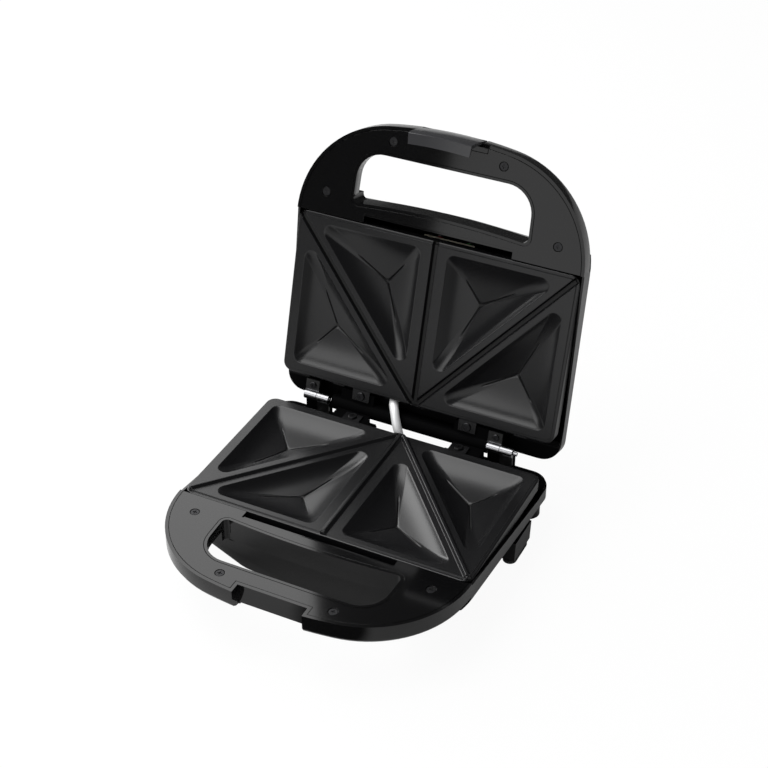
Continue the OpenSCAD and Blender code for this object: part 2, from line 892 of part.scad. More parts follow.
module base_shell() {
    color([0.05, 0.05, 0.055])
        base_part()
            difference() {
                union() {
                    shell_half(notch_wall_w, notch_y + rim_wall, base_floor_y);
                    // Legs under the side bands
                    both_sides() {
                        across_leg()
                            polygon([
                                [side_leg_x[0], foot_pad_h - foot_h - shell_h + over],
                                [side_leg_x[1], foot_pad_h - foot_h - shell_h + over],
                                [side_leg_x[1] + side_leg_top[1], side_leg_top[0]],
                                [side_leg_x[0] - side_leg_top[2], side_leg_top[0]]
                            ]);
                        for (spot = foot_spots)
                            translate([spot.x, spot.y, foot_pad_h - foot_h - shell_h - foot_seat])
                                cylinder(r = foot_post_r, h = foot_h - foot_pad_h + foot_seat + bowl_wall);
                    }
                    well();
                    base_hinge_seats();
                }
                shell_screw_holes();
                // Notch for the latch, and the ledge that its lip catches under
                block([-notch_w / 2, notch_w / 2], [front_y - over, notch_y], [-shell_h, over]);
                block([-notch_w / 2 + over, notch_w / 2 - over], [notch_y - over, notch_y + latch_ledge_l],
                    [-shell_h, latch_ledge_z]);
                // Seats of the foot pads
                foot_post(-parting_h - over, foot_pad_h - parting_h, clear / 4);
                well_space();
                translate([gland_spot.x, rear_y - 2 * bowl_wall, -gland_spot.y])
                    rotate([-90, 0, 0])
                        cylinder(r = gland_sleeve_r + screw_clear, h = 4 * bowl_wall);
                for (i = [-vents_each_side : vents_each_side])
                    block([i * vent_pitch - vent_w / 2, i * vent_pitch + vent_w / 2], vent_y,
                        [-shell_h - over, bowl_wall - shell_h + over]);
                for (x = hinge_x)
                    translate([x + knuckle_mid, hinge_screw_y, -deck_z - hinge_screw_l])
                        cylinder(r = screw_d / 2 + screw_clear, h = hinge_screw_l + over);
            }
}

module across_leg() {
    translate([0, side_leg_y[1], 0])
        rotate([90, 0, 0])
            linear_extrude(side_leg_y[1] - side_leg_y[0])
                children();
}

// Recess behind the plate through which the conduit leaves the base
module well() {
    block([well_x[0] - well_wall, well_x[1] + well_wall], [deck_front_y, rear_y - band_wall / 2],
        [-well_z - well_wall, -deck_z]);
}
module well_space() {
    block(well_x, [deck_front_y + well_wall, rear_y + over], [-well_z, over]);
    base_end = conduit_route[len(conduit_route) - 1];
    translate([base_end.x, base_end.y, -well_z - 2 * well_wall])
        cylinder(d = conduit_d + clear, h = 4 * well_wall);
}
module base_hinge_seats() {
    for (x = hinge_x) {
        block([x, x + knuckle_l], hinge_seat_y, [-deck_z - hinge_screw_l - over, -deck_z]);
        // Wall behind the barrels
        block([x - knuckle_l - hinge_wall_extra, x + knuckle_l + hinge_wall_extra],
            [hinge_y + leaf_t / 2 + clear, rear_y - band_wall / 2], [-deck_z - slice_t, -barrel_r - clear]);
    }
}

module base_handle_cover() {
    color([0.07, 0.07, 0.075])
        base_part()
            handle_cover(notch_wall_w, notch_y + rim_wall);
}
module base_cover_screws() {
    color([0.2, 0.2, 0.2])
        base_part()
            cover_screws();
}
module lower_plate() {
    color([0.17, 0.17, 0.18])
        base_part()
            plate_half(false);
}
module lower_plate_screws() {
    color([0.5, 0.5, 0.5])
        base_part()
            plate_screws();
}
module lower_reflector() {
    color([0.7, 0.7, 0.7])
        base_part()
            reflector();
}
module lower_element() {
    color([0.35, 0.33, 0.32])
        base_part()
            element();
}
module lower_element_clamps() {
    color([0.6, 0.6, 0.6])
        base_part()
            element_clamps();
}

module foot_pads() {
    color([0.1, 0.1, 0.1])
        base_part()
            foot_post(-parting_h, foot_pad_h - parting_h, 0);
}

module cord_gland() {
    flange_r = gland_bore_r + 4.5;
    flange_t = 2;
    color([0.08, 0.08, 0.08])
        base_part()
            translate([gland_spot.x, rear_y, -gland_spot.y])
                rotate([-90, 0, 0])
                    difference() {
                        union() {
                            translate([0, 0, 0.1])
                                cylinder(r = flange_r, h = flange_t);
                            translate([0, 0, -bowl_wall - 3])
                                cylinder(r = gland_sleeve_r, h = bowl_wall + 3 + flange_t);
                        }
                        translate([0, 0, -reach / 2])
                            cylinder(r = gland_bore_r, h = reach);
                    }
}

module terminal_block() {
    holes = [-terminal_pitch, 0, terminal_pitch];
    color([0.85, 0.83, 0.78])
        base_part()
            translate([terminal_spot.x, terminal_spot.y, bowl_wall - shell_h + slice_t])
                difference() {
                    translate([-terminal_size.x / 2, -terminal_size.y / 2, 0])
                        cube(terminal_size);
                    for (x = holes)
                        translate([x, -terminal_size.y, terminal_size.z / 2 - 0.5])
                            rotate([-90, 0, 0])
                                cylinder(r = terminal_hole_r, h = 2 * terminal_size.y);
                    for (x = holes)
                        translate([x, 0, terminal_size.z / 2])
                            cylinder(r = terminal_hole_r, h = terminal_size.z);
                }
}

module thermal_fuse() {
    color([0.75, 0.72, 0.65])
        base_part()
            translate(fuse_spot)
                rotate([0, 90, 0]) {
                    cylinder(r = fuse_r, h = fuse_l);
                    translate([0, 0, -fuse_lead_l])
                        cylinder(r = fuse_lead_r, h = fuse_l + 2 * fuse_lead_l);
                }
}

// Round tube along a route: rings square to it, joined by triangles
module tube(route, r, sides) {
    n = len(route);
    function heading(i) = unit(route[min(i + 1, n - 1)] - route[max(i - 1, 0)]);
    function ring(i) =
        let (t = heading(i), u = unit([1, 0, 0] - t * t.x), v = cross(t, u))
            [for (k = [0 : sides - 1]) route[i] + r * (cos(360 * k / sides) * u + sin(360 * k / sides) * v)];
    points = [for (i = [0 : n - 1]) each ring(i)];
    sides_faces = [
        for (i = [0 : n - 2])
            for (k = [0 : sides - 1])
                let (m = (k + 1) % sides)
                    each [[i * sides + k, (i + 1) * sides + k, (i + 1) * sides + m],
                        [i * sides + k, (i + 1) * sides + m, i * sides + m]]
    ];
    polyhedron(points, concat(
        [[for (k = [0 : sides - 1]) k]], sides_faces,
        [reversed([for (k = [0 : sides - 1]) (n - 1) * sides + k])]
    ));
}

module wire_conduit() {
    color([0.8, 0.8, 0.82])
        base_part()
            tube(conduit_route, conduit_d / 2, 16);
}

module base_wiring() {
    under = -reflector_z - 6;
    block_x = terminal_spot.x + terminal_pitch;
    block_y = terminal_spot.y;
    color([0.7, 0.2, 0.15])
        base_part() {
            tube([[block_x, block_y + 8.2, -32], [-40, block_y + 16, -31], [-28, block_y + 22, under],
                [-14, hinge_y - 19.25, under], [-4.4, hinge_y - 12.25, under],
                [-4.4, hinge_y - 6.95, -28.4]], wire_r, 8);
            tube([[block_x, block_y - 9, -32], [-36, block_y - 14, -30], [-10, 18, under],
                [10, 24, -reflector_z - 4],
                [20.5, 25, -reflector_z - 4]], wire_r, 8);
        }
}

module hinge_barrel(x0) {
    translate([x0, hinge_y, 0])
        rotate([0, 90, 0])
            cylinder(r = barrel_r, h = knuckle_l);
}
module hinge_bore(x) {
    translate([x - reach / 4, hinge_y, 0])
        rotate([0, 90, 0])
            cylinder(r = pin_d / 2 + pin_clear, h = reach / 2);
}

// Base half of a hinge: knuckle, upright leaf and foot
module base_hinge(x) {
    x0 = x + knuckle_gap / 2;
    color([0.6, 0.6, 0.6])
        base_part()
            difference() {
                union() {
                    hinge_barrel(x0);
                    block([x0, x0 + knuckle_l], [hinge_y - leaf_t / 2, hinge_y + leaf_t / 2],
                        [-deck_z, -barrel_r / 2]);
                    block([x0, x0 + knuckle_l], [hinge_y - hinge_foot_l, hinge_y + leaf_t / 2],
                        [-deck_z, hinge_foot_t - deck_z]);
                }
                hinge_bore(x);
                translate([x + knuckle_mid, hinge_screw_y, -deck_z - over])
                    cylinder(r = screw_d / 2 + 2 * screw_clear, h = hinge_foot_t + 2 * over);
            }
}
module base_hinge_left() {
    base_hinge(hinge_x[0]);
}
module base_hinge_right() {
    base_hinge(hinge_x[1]);
}
module base_hinge_screws() {
    color([0.5, 0.5, 0.5])
        base_part()
            for (x = hinge_x)
                translate([x + knuckle_mid, hinge_screw_y, hinge_foot_t - deck_z])
                    intersection() {
                        screw(hinge_screw_l);
                        cylinder(d = hinge_head_d, h = reach, center = true);
                    }
}
module hinge_pin(x, tip) {
    color([0.7, 0.7, 0.7])
        base_part()
            translate([x - knuckle_l - knuckle_gap, hinge_y, 0])
                rotate([0, 90, 0])
                    cylinder(d = pin_d, h = 2 * knuckle_l + 2 * knuckle_gap + tip);
}
module hinge_pin_left() {
    hinge_pin(hinge_x[0], pin_tip[0]);
}
module hinge_pin_right() {
    hinge_pin(hinge_x[1], pin_tip[1]);
}

// Lid half of a hinge: knuckle and a flat leaf screwed to the lid
module lid_hinge(x) {
    x0 = x - knuckle_gap / 2 - knuckle_l;
    color([0.6, 0.6, 0.6])
        lid_part()
            difference() {
                union() {
                    hinge_barrel(x0);
                    block([x0 - lid_leaf_extra, x0 + knuckle_l], [hinge_y - lid_leaf_l, hinge_y],
                        [lid_leaf_z, lid_leaf_z + lid_leaf_t]);
                }
                hinge_bore(x);
                translate([x0 + knuckle_l / 2, lid_screw_y, 0])
                    cylinder(r = screw_d / 2 + 2 * screw_clear, h = reach);
            }
}
module lid_hinge_left() {
    lid_hinge(hinge_x[0]);
}
module lid_hinge_right() {
    lid_hinge(hinge_x[1]);
}
module lid_hinge_screws() {
    color([0.4, 0.4, 0.4])
        lid_part()
            for (x = hinge_x)
                translate([x - knuckle_mid, lid_screw_y, lid_leaf_z])
                    flipped()
                        intersection() {
                            screw(hinge_screw_l);
                            cylinder(d = lid_head_d, h = reach, center = true);
                        }
}

module lid_shell() {
    color([0.05, 0.05, 0.055])
        lid_part()
            difference() {
                union() {
                    flipped()
                        shell_half(latch_block_w, latch_block_y, lid_floor_y);
                    // Roll and its web along the back
                    translate([roll_x[0], roll_y, roll_z])
                        rotate([0, 90, 0])
                            cylinder(r = roll_r, h = roll_x[1] - roll_x[0]);
                    block(roll_x, [roll_y - roll_r, rear_y - 0.2], [roll_z, deck_z + slice_t]);
                    // Seats of the lid hinges
                    for (x = hinge_x)
                        block([x - knuckle_gap / 2 - knuckle_l - lid_leaf_extra, x - knuckle_gap / 2],
                            [hinge_y - lid_leaf_l, hinge_y - barrel_r - clear],
                            [lid_leaf_z + lid_leaf_t, deck_z + slice_t]);
                }
                flipped()
                    shell_screw_holes();
                // Recess for the latch's barrel and arms, with a floor under it
                block([-latch_w / 2 - latch_slack, latch_w / 2 + latch_slack],
                    [front_y - 2 * over, latch_axis.x + latch_barrel_r + 2 * clear],
                    [latch_floor_z, latch_recess_z]);
                block([-latch_w / 2 - latch_slack, latch_w / 2 + latch_slack],
                    [front_y - 2 * over, front_y + latch_slot_l], [-over, latch_floor_z + over]);
                block(face_slot_x, face_slot_y, [-over, half_gap + face_slot_depth]);
                translate([-latch_w / 2 - latch_pin_end - 0.2, latch_axis.x, latch_axis.y])
                    rotate([0, 90, 0])
                        cylinder(r = latch_pin_d / 2 + screw_clear, h = latch_w + 2 * latch_pin_end + 0.4);
                for (x = hinge_x)
                    translate([x - knuckle_mid, lid_screw_y, lid_leaf_z])
                        cylinder(r = screw_d / 2 + screw_clear, h = hinge_screw_l + over);
                for (spot = lens_spots)
                    translate([spot.x, spot.y, shell_h - bowl_wall - over])
                        cylinder(r = lens_r + screw_clear, h = bowl_wall + 2 * over);
                translate([conduit_route[0].x, conduit_lid_y, deck_z - over])
                    cylinder(d = conduit_d + 3 * clear, h = deck_t + 2 * over);
            }
}
module lid_handle_cover() {
    color([0.07, 0.07, 0.075])
        lid_part()
            flipped()
                handle_cover(latch_block_w, latch_block_y);
}
module lid_cover_screws() {
    color([0.2, 0.2, 0.2])
        lid_part()
            flipped()
                cover_screws();
}
module upper_plate() {
    color([0.17, 0.17, 0.18])
        lid_part()
            flipped()
                plate_half(true);
}
module upper_plate_screws() {
    color([0.5, 0.5, 0.5])
        lid_part()
            flipped()
                plate_screws();
}
module upper_reflector() {
    color([0.7, 0.7, 0.7])
        lid_part()
            flipped()
                reflector();
}
module upper_element() {
    color([0.35, 0.33, 0.32])
        lid_part()
            flipped()
                element();
}
module upper_element_clamps() {
    color([0.6, 0.6, 0.6])
        lid_part()
            flipped()
                element_clamps();
}
module thermostat() {
    color([0.8, 0.78, 0.7])
        lid_part()
            translate([0, thermostat_y, reflector_z + slice_t]) {
                for (i = [0, 1])
                    cylinder(r = thermostat_r[i], h = thermostat_h[i]);
                for (x = [-thermostat_tab_x, thermostat_tab_x])
                    block([x - 0.4, x + 0.4], [-3, 3], [thermostat_h[1] - over, thermostat_h[1] + 4]);
            }
}
module lid_wiring() {
    level = reflector_z + 6;
    color([0.7, 0.2, 0.15])
        lid_part() {
            tube([[conduit_route[0].x, conduit_lid_y, 25.8], [conduit_route[0].x, half_d - 2, level],
                [-16, 46, level], [-9, 32, level + 6], [-5.5, 25, level + 6.5]], wire_r, 8);
            tube([[5.5, 25, level + 6.5], [7, 10, level + 6], [6, -15, level], [3, -40, level],
                [3, -43.5, level]], wire_r, 8);
        }
}
module indicator_lens(spot) {
    lid_part()
        translate([spot.x, spot.y, 0]) {
            translate([0, 0, shell_h - bowl_wall - 1.6])
                cylinder(r = lens_r + lens_flange, h = 1.5);
            translate([0, 0, shell_h - bowl_wall - 1])
                cylinder(r = lens_r, h = bowl_wall + 1);
            translate([0, 0, shell_h - 5])
                intersection() {
                    sphere(r = lens_dome_r);
                    translate([0, 0, 4.5])
                        cylinder(r = lens_r, h = 3);
                }
        }
}
module indicator_lens_red() {
    color([0.8, 0.1, 0.08])
        indicator_lens(lens_spots[0]);
}
module indicator_lens_green() {
    color([0.1, 0.7, 0.2])
        indicator_lens(lens_spots[1]);
}
module lamp_holder() {
    color([0.75, 0.65, 0.4])
        lid_part()
            translate([0, lens_spots[0].y, reflector_z + 4]) {
                translate([-lamp_board.x / 2, -lamp_board.y / 2, 0])
                    cube(lamp_board);
                for (spot = lens_spots)
                    translate([spot.x, 0, lamp_board.z / 2])
                        cylinder(r = lamp_r, h = lamp_h);
            }
}

module latch() {
    turn = 2 * asin(latch_w / 2 / (handle_front_r + 3));
    color([0.2, 0.2, 0.21])
        lid_part()
            difference() {
                union() {
                    translate([0, front_c.y, 0])
                        rotate([0, 0, -90 - turn / 2])
                            rotate_extrude(angle = turn, $fn = 96)
                                polygon([for (p = latch_profile) [front_c.y - p.x, p.y]]);
                    translate([-latch_w / 2, latch_axis.x, latch_axis.y])
                        rotate([0, 90, 0])
                            cylinder(r = latch_barrel_r, h = latch_w);
                }
                translate([-latch_w, latch_axis.x, latch_axis.y])
                    rotate([0, 90, 0])
                        cylinder(r = latch_pin_d / 2 + pin_clear, h = 2 * latch_w);
            }
}
module latch_pin() {
    color([0.7, 0.7, 0.7])
        lid_part()
            translate([-latch_w / 2 - latch_pin_end, latch_axis.x, latch_axis.y])
                rotate([0, 90, 0])
                    cylinder(d = latch_pin_d, h = latch_w + 2 * latch_pin_end);
}

base_shell();
base_handle_cover();
base_cover_screws();
lower_plate();
lower_plate_screws();
lower_reflector();
lower_element();
lower_element_clamps();
foot_pads();
cord_gland();
terminal_block();
thermal_fuse();
base_wiring();
base_hinge_left();
base_hinge_right();
base_hinge_screws();
hinge_pin_left();
hinge_pin_right();
wire_conduit();
lid_shell();
lid_handle_cover();
lid_cover_screws();
upper_plate();
upper_plate_screws();
upper_reflector();
upper_element();
upper_element_clamps();
thermostat();
lid_wiring();
lid_hinge_left();
lid_hinge_right();
lid_hinge_screws();
indicator_lens_red();
indicator_lens_green();
lamp_holder();
latch_pin();
latch();
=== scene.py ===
import json
import math

import bmesh
import bpy
import numpy as np
from bpy.props import FloatProperty, FloatVectorProperty, PointerProperty
from mathutils import Matrix, Vector
from mathutils.geometry import delaunay_2d_cdt


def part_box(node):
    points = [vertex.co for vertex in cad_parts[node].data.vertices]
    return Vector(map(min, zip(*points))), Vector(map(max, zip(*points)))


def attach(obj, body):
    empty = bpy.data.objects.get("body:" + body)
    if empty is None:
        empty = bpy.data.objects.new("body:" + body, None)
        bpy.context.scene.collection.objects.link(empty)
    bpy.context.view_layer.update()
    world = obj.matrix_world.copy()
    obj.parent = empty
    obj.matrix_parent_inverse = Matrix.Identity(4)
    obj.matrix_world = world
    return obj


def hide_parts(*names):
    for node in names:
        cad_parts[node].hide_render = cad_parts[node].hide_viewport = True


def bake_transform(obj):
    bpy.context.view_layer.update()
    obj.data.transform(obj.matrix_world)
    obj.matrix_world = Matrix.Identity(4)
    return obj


bl_info = {
    "name": "Sandwich toaster",
    "version": (1, 0, 0),
    "blender": (4, 5, 0),
    "location": "3D View > Sidebar > Toaster",
    "description": "Builds the looks of a sandwich toaster with a hinged lid",
    "category": "Add Mesh",
}

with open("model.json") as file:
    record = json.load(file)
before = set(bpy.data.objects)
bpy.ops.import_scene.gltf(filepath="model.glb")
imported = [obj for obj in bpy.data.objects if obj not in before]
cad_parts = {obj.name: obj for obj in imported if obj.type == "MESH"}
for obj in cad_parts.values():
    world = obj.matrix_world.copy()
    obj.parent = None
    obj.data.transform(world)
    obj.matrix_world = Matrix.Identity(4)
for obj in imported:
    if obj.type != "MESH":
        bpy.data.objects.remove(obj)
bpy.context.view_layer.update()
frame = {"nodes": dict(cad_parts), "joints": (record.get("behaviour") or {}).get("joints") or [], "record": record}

MM = 0.001
LID_JOINT = next(joint for joint in frame["joints"] if joint["name"] == "lid_hinge")
HINGE = Vector(LID_JOINT["pos_m"])
LID_ANGLE = math.radians(LID_JOINT["range_deg"][1])

# The hinge axis lies in the parting plane, this far behind the middle of the plates
HINGE_BACK = 77.25 * MM
# Half of the gap between the closed halves
HALF_GAP = 0.25 * MM
BARREL_R = 3.5 * MM
# Points of a mesh that are nearer than this become one
MERGE_DIST = 2e-6


# Placement

def base_place():
    """From plate coordinates, with the parting plane on z = 0, to the frame."""
    return Matrix.Translation((0, HINGE.y - HINGE_BACK, HINGE.z))


def lid_place():
    """From the same coordinates of the closed lid to where the open lid stands."""
    turn = Matrix.Rotation(-LID_ANGLE, 4, "X")
    there = Matrix.Translation((0, HINGE_BACK, 0))
    return base_place() @ there @ turn @ there.inverted()


# Turns a face that looks up into one that looks down
FLIP = Matrix.Diagonal((1, 1, -1, 1))


def put_in_place(mesh, place):
    mesh.transform(place)
    if place.determinant() < 0:
        mesh.flip_normals()


# Objects

def new_object(name, data):
    piece = bpy.data.objects.new(name, data)
    bpy.context.scene.collection.objects.link(piece)
    return piece


def mesh_from_bmesh(name, bm):
    mesh = bpy.data.meshes.new(name)
    bm.to_mesh(mesh)
    bm.free()
    return mesh


def smooth_by_angle(mesh, degrees):
    mesh.shade_smooth()
    mesh.set_sharp_from_angle(angle=math.radians(degrees))


def weigh_normals(piece):
    """Large faces set the normals, so that a rounded edge beside a flat shades as one."""
    modifier = piece.modifiers.new("Weighted normals", "WEIGHTED_NORMAL")
    modifier.mode = "FACE_AREA"
    modifier.weight = 50
    modifier.keep_sharp = True


def body_of(node):
    bodies = frame["record"]["behaviour"]["bodies"]
    return next(body for body, nodes in bodies.items() if node in nodes)


def slot_of(node):
    """The record's material slot of a CAD node."""
    parts = frame["record"]["subparts"]
    return next(part["material_slot"] for part in parts if part["node"] == node)


def finish_piece(piece, node):
    """Gives a piece the finish and the slot of the CAD node whose place it takes."""
    slot = slot_of(node)
    piece.data.materials.clear()
    piece.data.materials.append(finishes()[slot])
    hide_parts(node)


# Shader building

class Sum:
    """A socket in a node tree that takes part in arithmetic."""

    def __init__(self, finish, socket):
        self.finish = finish
        self.socket = socket

    def calc(self, operation, *values):
        return self.finish.math(operation, *values)

    def __add__(self, other):
        return self.calc("ADD", self, other)

    __radd__ = __add__

    def __sub__(self, other):
        return self.calc("SUBTRACT", self, other)

    def __rsub__(self, other):
        return self.calc("SUBTRACT", other, self)

    def __mul__(self, other):
        return self.calc("MULTIPLY", self, other)

    __rmul__ = __mul__

    def __pow__(self, other):
        return self.calc("POWER", self, other)


class Finish:
    """One material: its nodes are made by name, and linked to its Principled shader."""

    def __init__(self, name, colour, roughness, **constants):
        self.material = bpy.data.materials.new(name)
        self.material.use_nodes = True
        self.nodes = self.material.node_tree.nodes
        self.links = self.material.node_tree.links
        self.shader = self.nodes["Principled BSDF"]
        self.set("Base Color", (*colour, 1))
        self.set("Roughness", roughness)
        self.material.diffuse_color = (*colour, 1)
        for socket, value in constants.items():
            self.set(socket.replace("_", " "), value)

    def put(self, socket, value):
        if isinstance(value, Sum):
            self.links.new(value.socket, socket)
        elif isinstance(value, bpy.types.NodeSocket):
            self.links.new(value, socket)
        else:
            socket.default_value = value

    def set(self, socket, value):
        self.put(self.shader.inputs[socket], value)

    def node(self, kind, settings=None, inputs=None):
        made = self.nodes.new(kind)
        for key, value in (settings or {}).items():
            setattr(made, key, value)
        for key, value in (inputs or {}).items():
            self.put(made.inputs[key], value)
        return made

    def math(self, operation, *values):
        made = self.node("ShaderNodeMath", {"operation": operation}, dict(enumerate(values)))
        return Sum(self, made.outputs[0])

    def place(self):
        return self.node("ShaderNodeTexCoord").outputs["Object"]

    def place_along(self, axis):
        split = self.node("ShaderNodeSeparateXYZ", None, {0: self.place()})
        return Sum(self, split.outputs[axis])

    def noise(self, scale, detail=3.0, stretch=(1, 1, 1)):
        """Noise of this many waves a metre on Object coordinates."""
        mapping = self.node("ShaderNodeMapping", None, {"Vector": self.place(), "Scale": stretch})
        made = self.node("ShaderNodeTexNoise", None, {
            "Vector": mapping.outputs[0], "Scale": scale, "Detail": detail, "Roughness": 0.55,
        })
        return Sum(self, made.outputs["Fac"])

    def voronoi(self, scale):
        """Distance to the nearest of this many cells a metre."""
        made = self.node("ShaderNodeTexVoronoi", None, {"Vector": self.place(), "Scale": scale})
        return Sum(self, made.outputs["Distance"])

    def hinge_distance(self):
        """Distance from the hinge axis."""
        y = self.place_along("Y") - HINGE.y
        z = self.place_along("Z") - HINGE.z
        return (y * y + z * z) ** 0.5

    def attribute(self, name):
        made = self.node("ShaderNodeAttribute", {"attribute_name": name})
        return Sum(self, made.outputs["Fac"])

    def between(self, value, low, high, to_low=0.0, to_high=1.0):
        made = self.node("ShaderNodeMapRange", {"interpolation_type": "SMOOTHSTEP"}, {
            "Value": value, "From Min": low, "From Max": high, "To Min": to_low, "To Max": to_high,
        })
        return Sum(self, made.outputs[0])

    def mix(self, share, one, other):
        """Colour between two: each is a colour or the output of another mix."""
        one, other = ((*c, 1) if isinstance(c, tuple) else c for c in (one, other))
        made = self.node("ShaderNodeMix", {"data_type": "RGBA"}, {0: share, 6: one, 7: other})
        return made.outputs[2]

    def bump(self, height, strength, distance):
        made = self.node("ShaderNodeBump", None, {
            "Height": height, "Strength": strength, "Distance": distance,
        })
        self.set("Normal", made.outputs[0])


def lighter(colour, share):
    return tuple(min(1.0, c * share) for c in colour)


def gloss_plastic(name, colour, roughness):
    """Moulded plastic: a faint flow of the melt in its colour, dust in its gloss and a fine skin.

    The gloss is a clear coat, faded out near the hinge axis as painted shade where the two halves shade each
    other."""
    finish = Finish(name, colour, 0.5, IOR=1.06, Coat_IOR=1.5, Coat_Roughness=roughness)
    flow = finish.noise(22, 4)
    finish.set("Base Color", finish.mix(flow, lighter(colour, 0.82), lighter(colour, 1.2)))
    dust = finish.between(finish.noise(900, 2), 0.66, 0.8)
    wipes = finish.noise(60, 5, (1, 6, 3))
    finish.set("Roughness", 0.45 + wipes * 0.1 + dust * 0.05)
    # Painted shade: the coat, and so the gloss, fades out from 18 to 15 mm of the hinge axis
    coat_out_of_hinge_shade = finish.between(finish.hinge_distance(), 15 * MM, 18 * MM)
    finish.set("Coat Weight", coat_out_of_hinge_shade * (0.97 - dust * 0.1))
    skin = finish.noise(1600, 2) + finish.noise(140, 2) * 2
    finish.bump(skin, 0.02, 0.05 * MM)
    return finish.material


def nonstick(name, colour, roughness):
    """Sprayed non-stick coat: fine orange peel, pale specks, and painted shade along the pocket creases and in the
    grooves.
    """
    finish = Finish(name, colour, roughness, IOR=1.45)
    cloud = finish.noise(35, 4)
    speck = finish.between(finish.voronoi(1100), 0.05, 0.16, 1, 0)
    crease = finish.attribute("crease")
    coat = finish.mix(cloud, lighter(colour, 0.85), lighter(colour, 1.15))
    specked = finish.mix(speck * 0.25, coat, lighter(colour, 2.2))
    # Painted shade: the crease attribute darkens the coat down to 0.12 of its colour along the creases and in the
    # grooves
    finish.set("Base Color", finish.mix(crease * 0.9, specked, lighter(colour, 0.12)))
    finish.set("Roughness", roughness * 0.9 + cloud * roughness * 0.2 + crease * 0.25)
    peel = finish.noise(1300, 3) + finish.noise(420, 2)
    finish.bump(peel, 0.12, 0.06 * MM)
    return finish.material


def drawn_metal(name, colour, roughness, stretch, wear=0.35, metallic=1.0):
    """Metal with the fine lines of its drawing or rolling along one axis."""
    finish = Finish(name, colour, roughness, Metallic=metallic)
    lines = finish.noise(500, 4, stretch)
    blotch = finish.noise(90, 3)
    finish.set("Base Color", finish.mix(blotch, lighter(colour, 1 - wear), lighter(colour, 1.1)))
    finish.set("Roughness", roughness * 0.7 + lines * roughness * 0.6)
    finish.bump(lines, 0.15, 0.03 * MM)
    return finish.material


def hinge_metal(name, colour, roughness):
    """Bright turned barrels round the hinge axis, and leaves with a worn black finish."""
    finish = Finish(name, colour, roughness)
    leaf = finish.between(finish.hinge_distance(), BARREL_R + 0.1 * MM, BARREL_R + 0.4 * MM)
    turned = finish.noise(500, 4, (8, 1, 1))
    scuffs = finish.between(finish.noise(260, 4), 0.6, 0.75)
    bright = finish.mix(turned, lighter(colour, 0.75), lighter(colour, 1.15))
    worn = finish.mix(scuffs * 0.5, (0.006, 0.006, 0.006), lighter(colour, 0.15))
    finish.set("Base Color", finish.mix(leaf, bright, worn))
    finish.set("Metallic", 1.0 - leaf)
    finish.set("Roughness", roughness * 0.8 + turned * roughness * 0.4 + leaf * 0.06)
    finish.bump(turned, 0.12, 0.03 * MM)
    return finish.material


def tinted_sheath(name, colour, roughness):
    """Heated steel: straw and blue tints that drift along the tube."""
    finish = Finish(name, colour, roughness, Metallic=1.0)
    drift = finish.noise(40, 3)
    warm = finish.mix(drift, (0.19, 0.13, 0.09), (0.16, 0.17, 0.22))
    finish.set("Base Color", finish.mix(finish.noise(15, 2), warm, colour))
    finish.set("Roughness", roughness + finish.noise(700, 3) * 0.2)
    return finish.material


def matte_plastic(name, colour, roughness, grain=0.25, pattern=700):
    """Dull rubber, fibre or ceramic with an even grain."""
    finish = Finish(name, colour, roughness)
    grains = finish.noise(pattern, 4)
    finish.set("Base Color", finish.mix(grains, lighter(colour, 0.8), lighter(colour, 1.2)))
    finish.set("Roughness", roughness * 0.9 + grains * roughness * 0.2)
    finish.bump(grains, grain, 0.1 * MM)
    return finish.material


def lens_plastic(name, colour):
    """Clear coloured lens with fine prisms moulded inside."""
    finish = Finish(name, colour, 0.12, IOR=1.49, Coat_Weight=0.6, Coat_Roughness=0.05)
    prisms = finish.voronoi(900)
    deep = finish.between(prisms, 0.1, 0.6)
    finish.set("Base Color", finish.mix(deep, lighter(colour, 1.3), lighter(colour, 0.55)))
    finish.set("Roughness", 0.1 + deep * 0.08)
    finish.bump(prisms, 0.12, 0.1 * MM)
    return finish.material


# Settings that a user would change

def size(name, description, default):
    return FloatProperty(
        name=name, description=description, default=default, min=0, unit="LENGTH", precision=5
    )


def shade(name, description, default):
    return FloatVectorProperty(
        name=name, description=description, default=default, min=0, max=1, size=3, subtype="COLOR"
    )


def level(name, description, default):
    return FloatProperty(name=name, description=description, default=default, min=0)


def turn(name, description, degrees):
    return FloatProperty(
        name=name, description=description, default=math.radians(degrees), subtype="ANGLE"
    )


class ToasterPlates(bpy.types.PropertyGroup):
    depth: size("Plate depth", "Depth of a cooking plate, front to back", 126.5 * MM)
    corner: size("Plate corner", "Corner radius of a cooking plate", 7 * MM)
    margin: size("Pocket margin", "From a pocket's rim to the sides and the rear edge", 8 * MM)
    front_margin: size("Front margin", "From a front pocket's rim to the front edge", 6.5 * MM)
    diagonal_margin: size("Diagonal margin", "From a pocket's rim to the diagonal divider", 6.5 * MM)
    middle_margin: size("Middle margin", "From a front pocket's rim to the middle", 10 * MM)
    pocket_corner: size("Pocket corner", "Corner radius of a pocket's rim", 6 * MM)
    pocket_depth: size("Pocket depth", "Depth of a pocket at its deepest point", 10.3 * MM)
    crease_depth: size("Crease depth", "Depth of the creases between a pocket's faces", 0.55 * MM)
    crease_width: size("Crease width", "Half width of those creases", 0.38 * MM)
    edge_width: size("Edge step width", "Width of the low step round a plate", 2.8 * MM)
    edge_drop: size("Edge step drop", "Drop of that step", 0.8 * MM)
    ridge_height: size("Ridge height", "Height of a cutting ridge", 2.2 * MM)
    ridge_foot: size("Ridge foot", "Half width of a ridge at its foot", 2.5 * MM)
    ridge_crest: size("Ridge crest", "Half width of a ridge at its crest", 1 * MM)
    groove_depth: size("Groove depth", "Depth of a groove in the upper plate", 2.7 * MM)
    groove_mouth: size("Groove mouth", "Half width of a groove at its mouth", 2.4 * MM)
    groove_floor: size("Groove floor", "Half width of a groove at its floor", 1.3 * MM)
    wall: size("Plate wall", "Wall of the cast plates", 2 * MM)
    skirt: size("Skirt height", "Height of the skirt round a plate", 9 * MM)


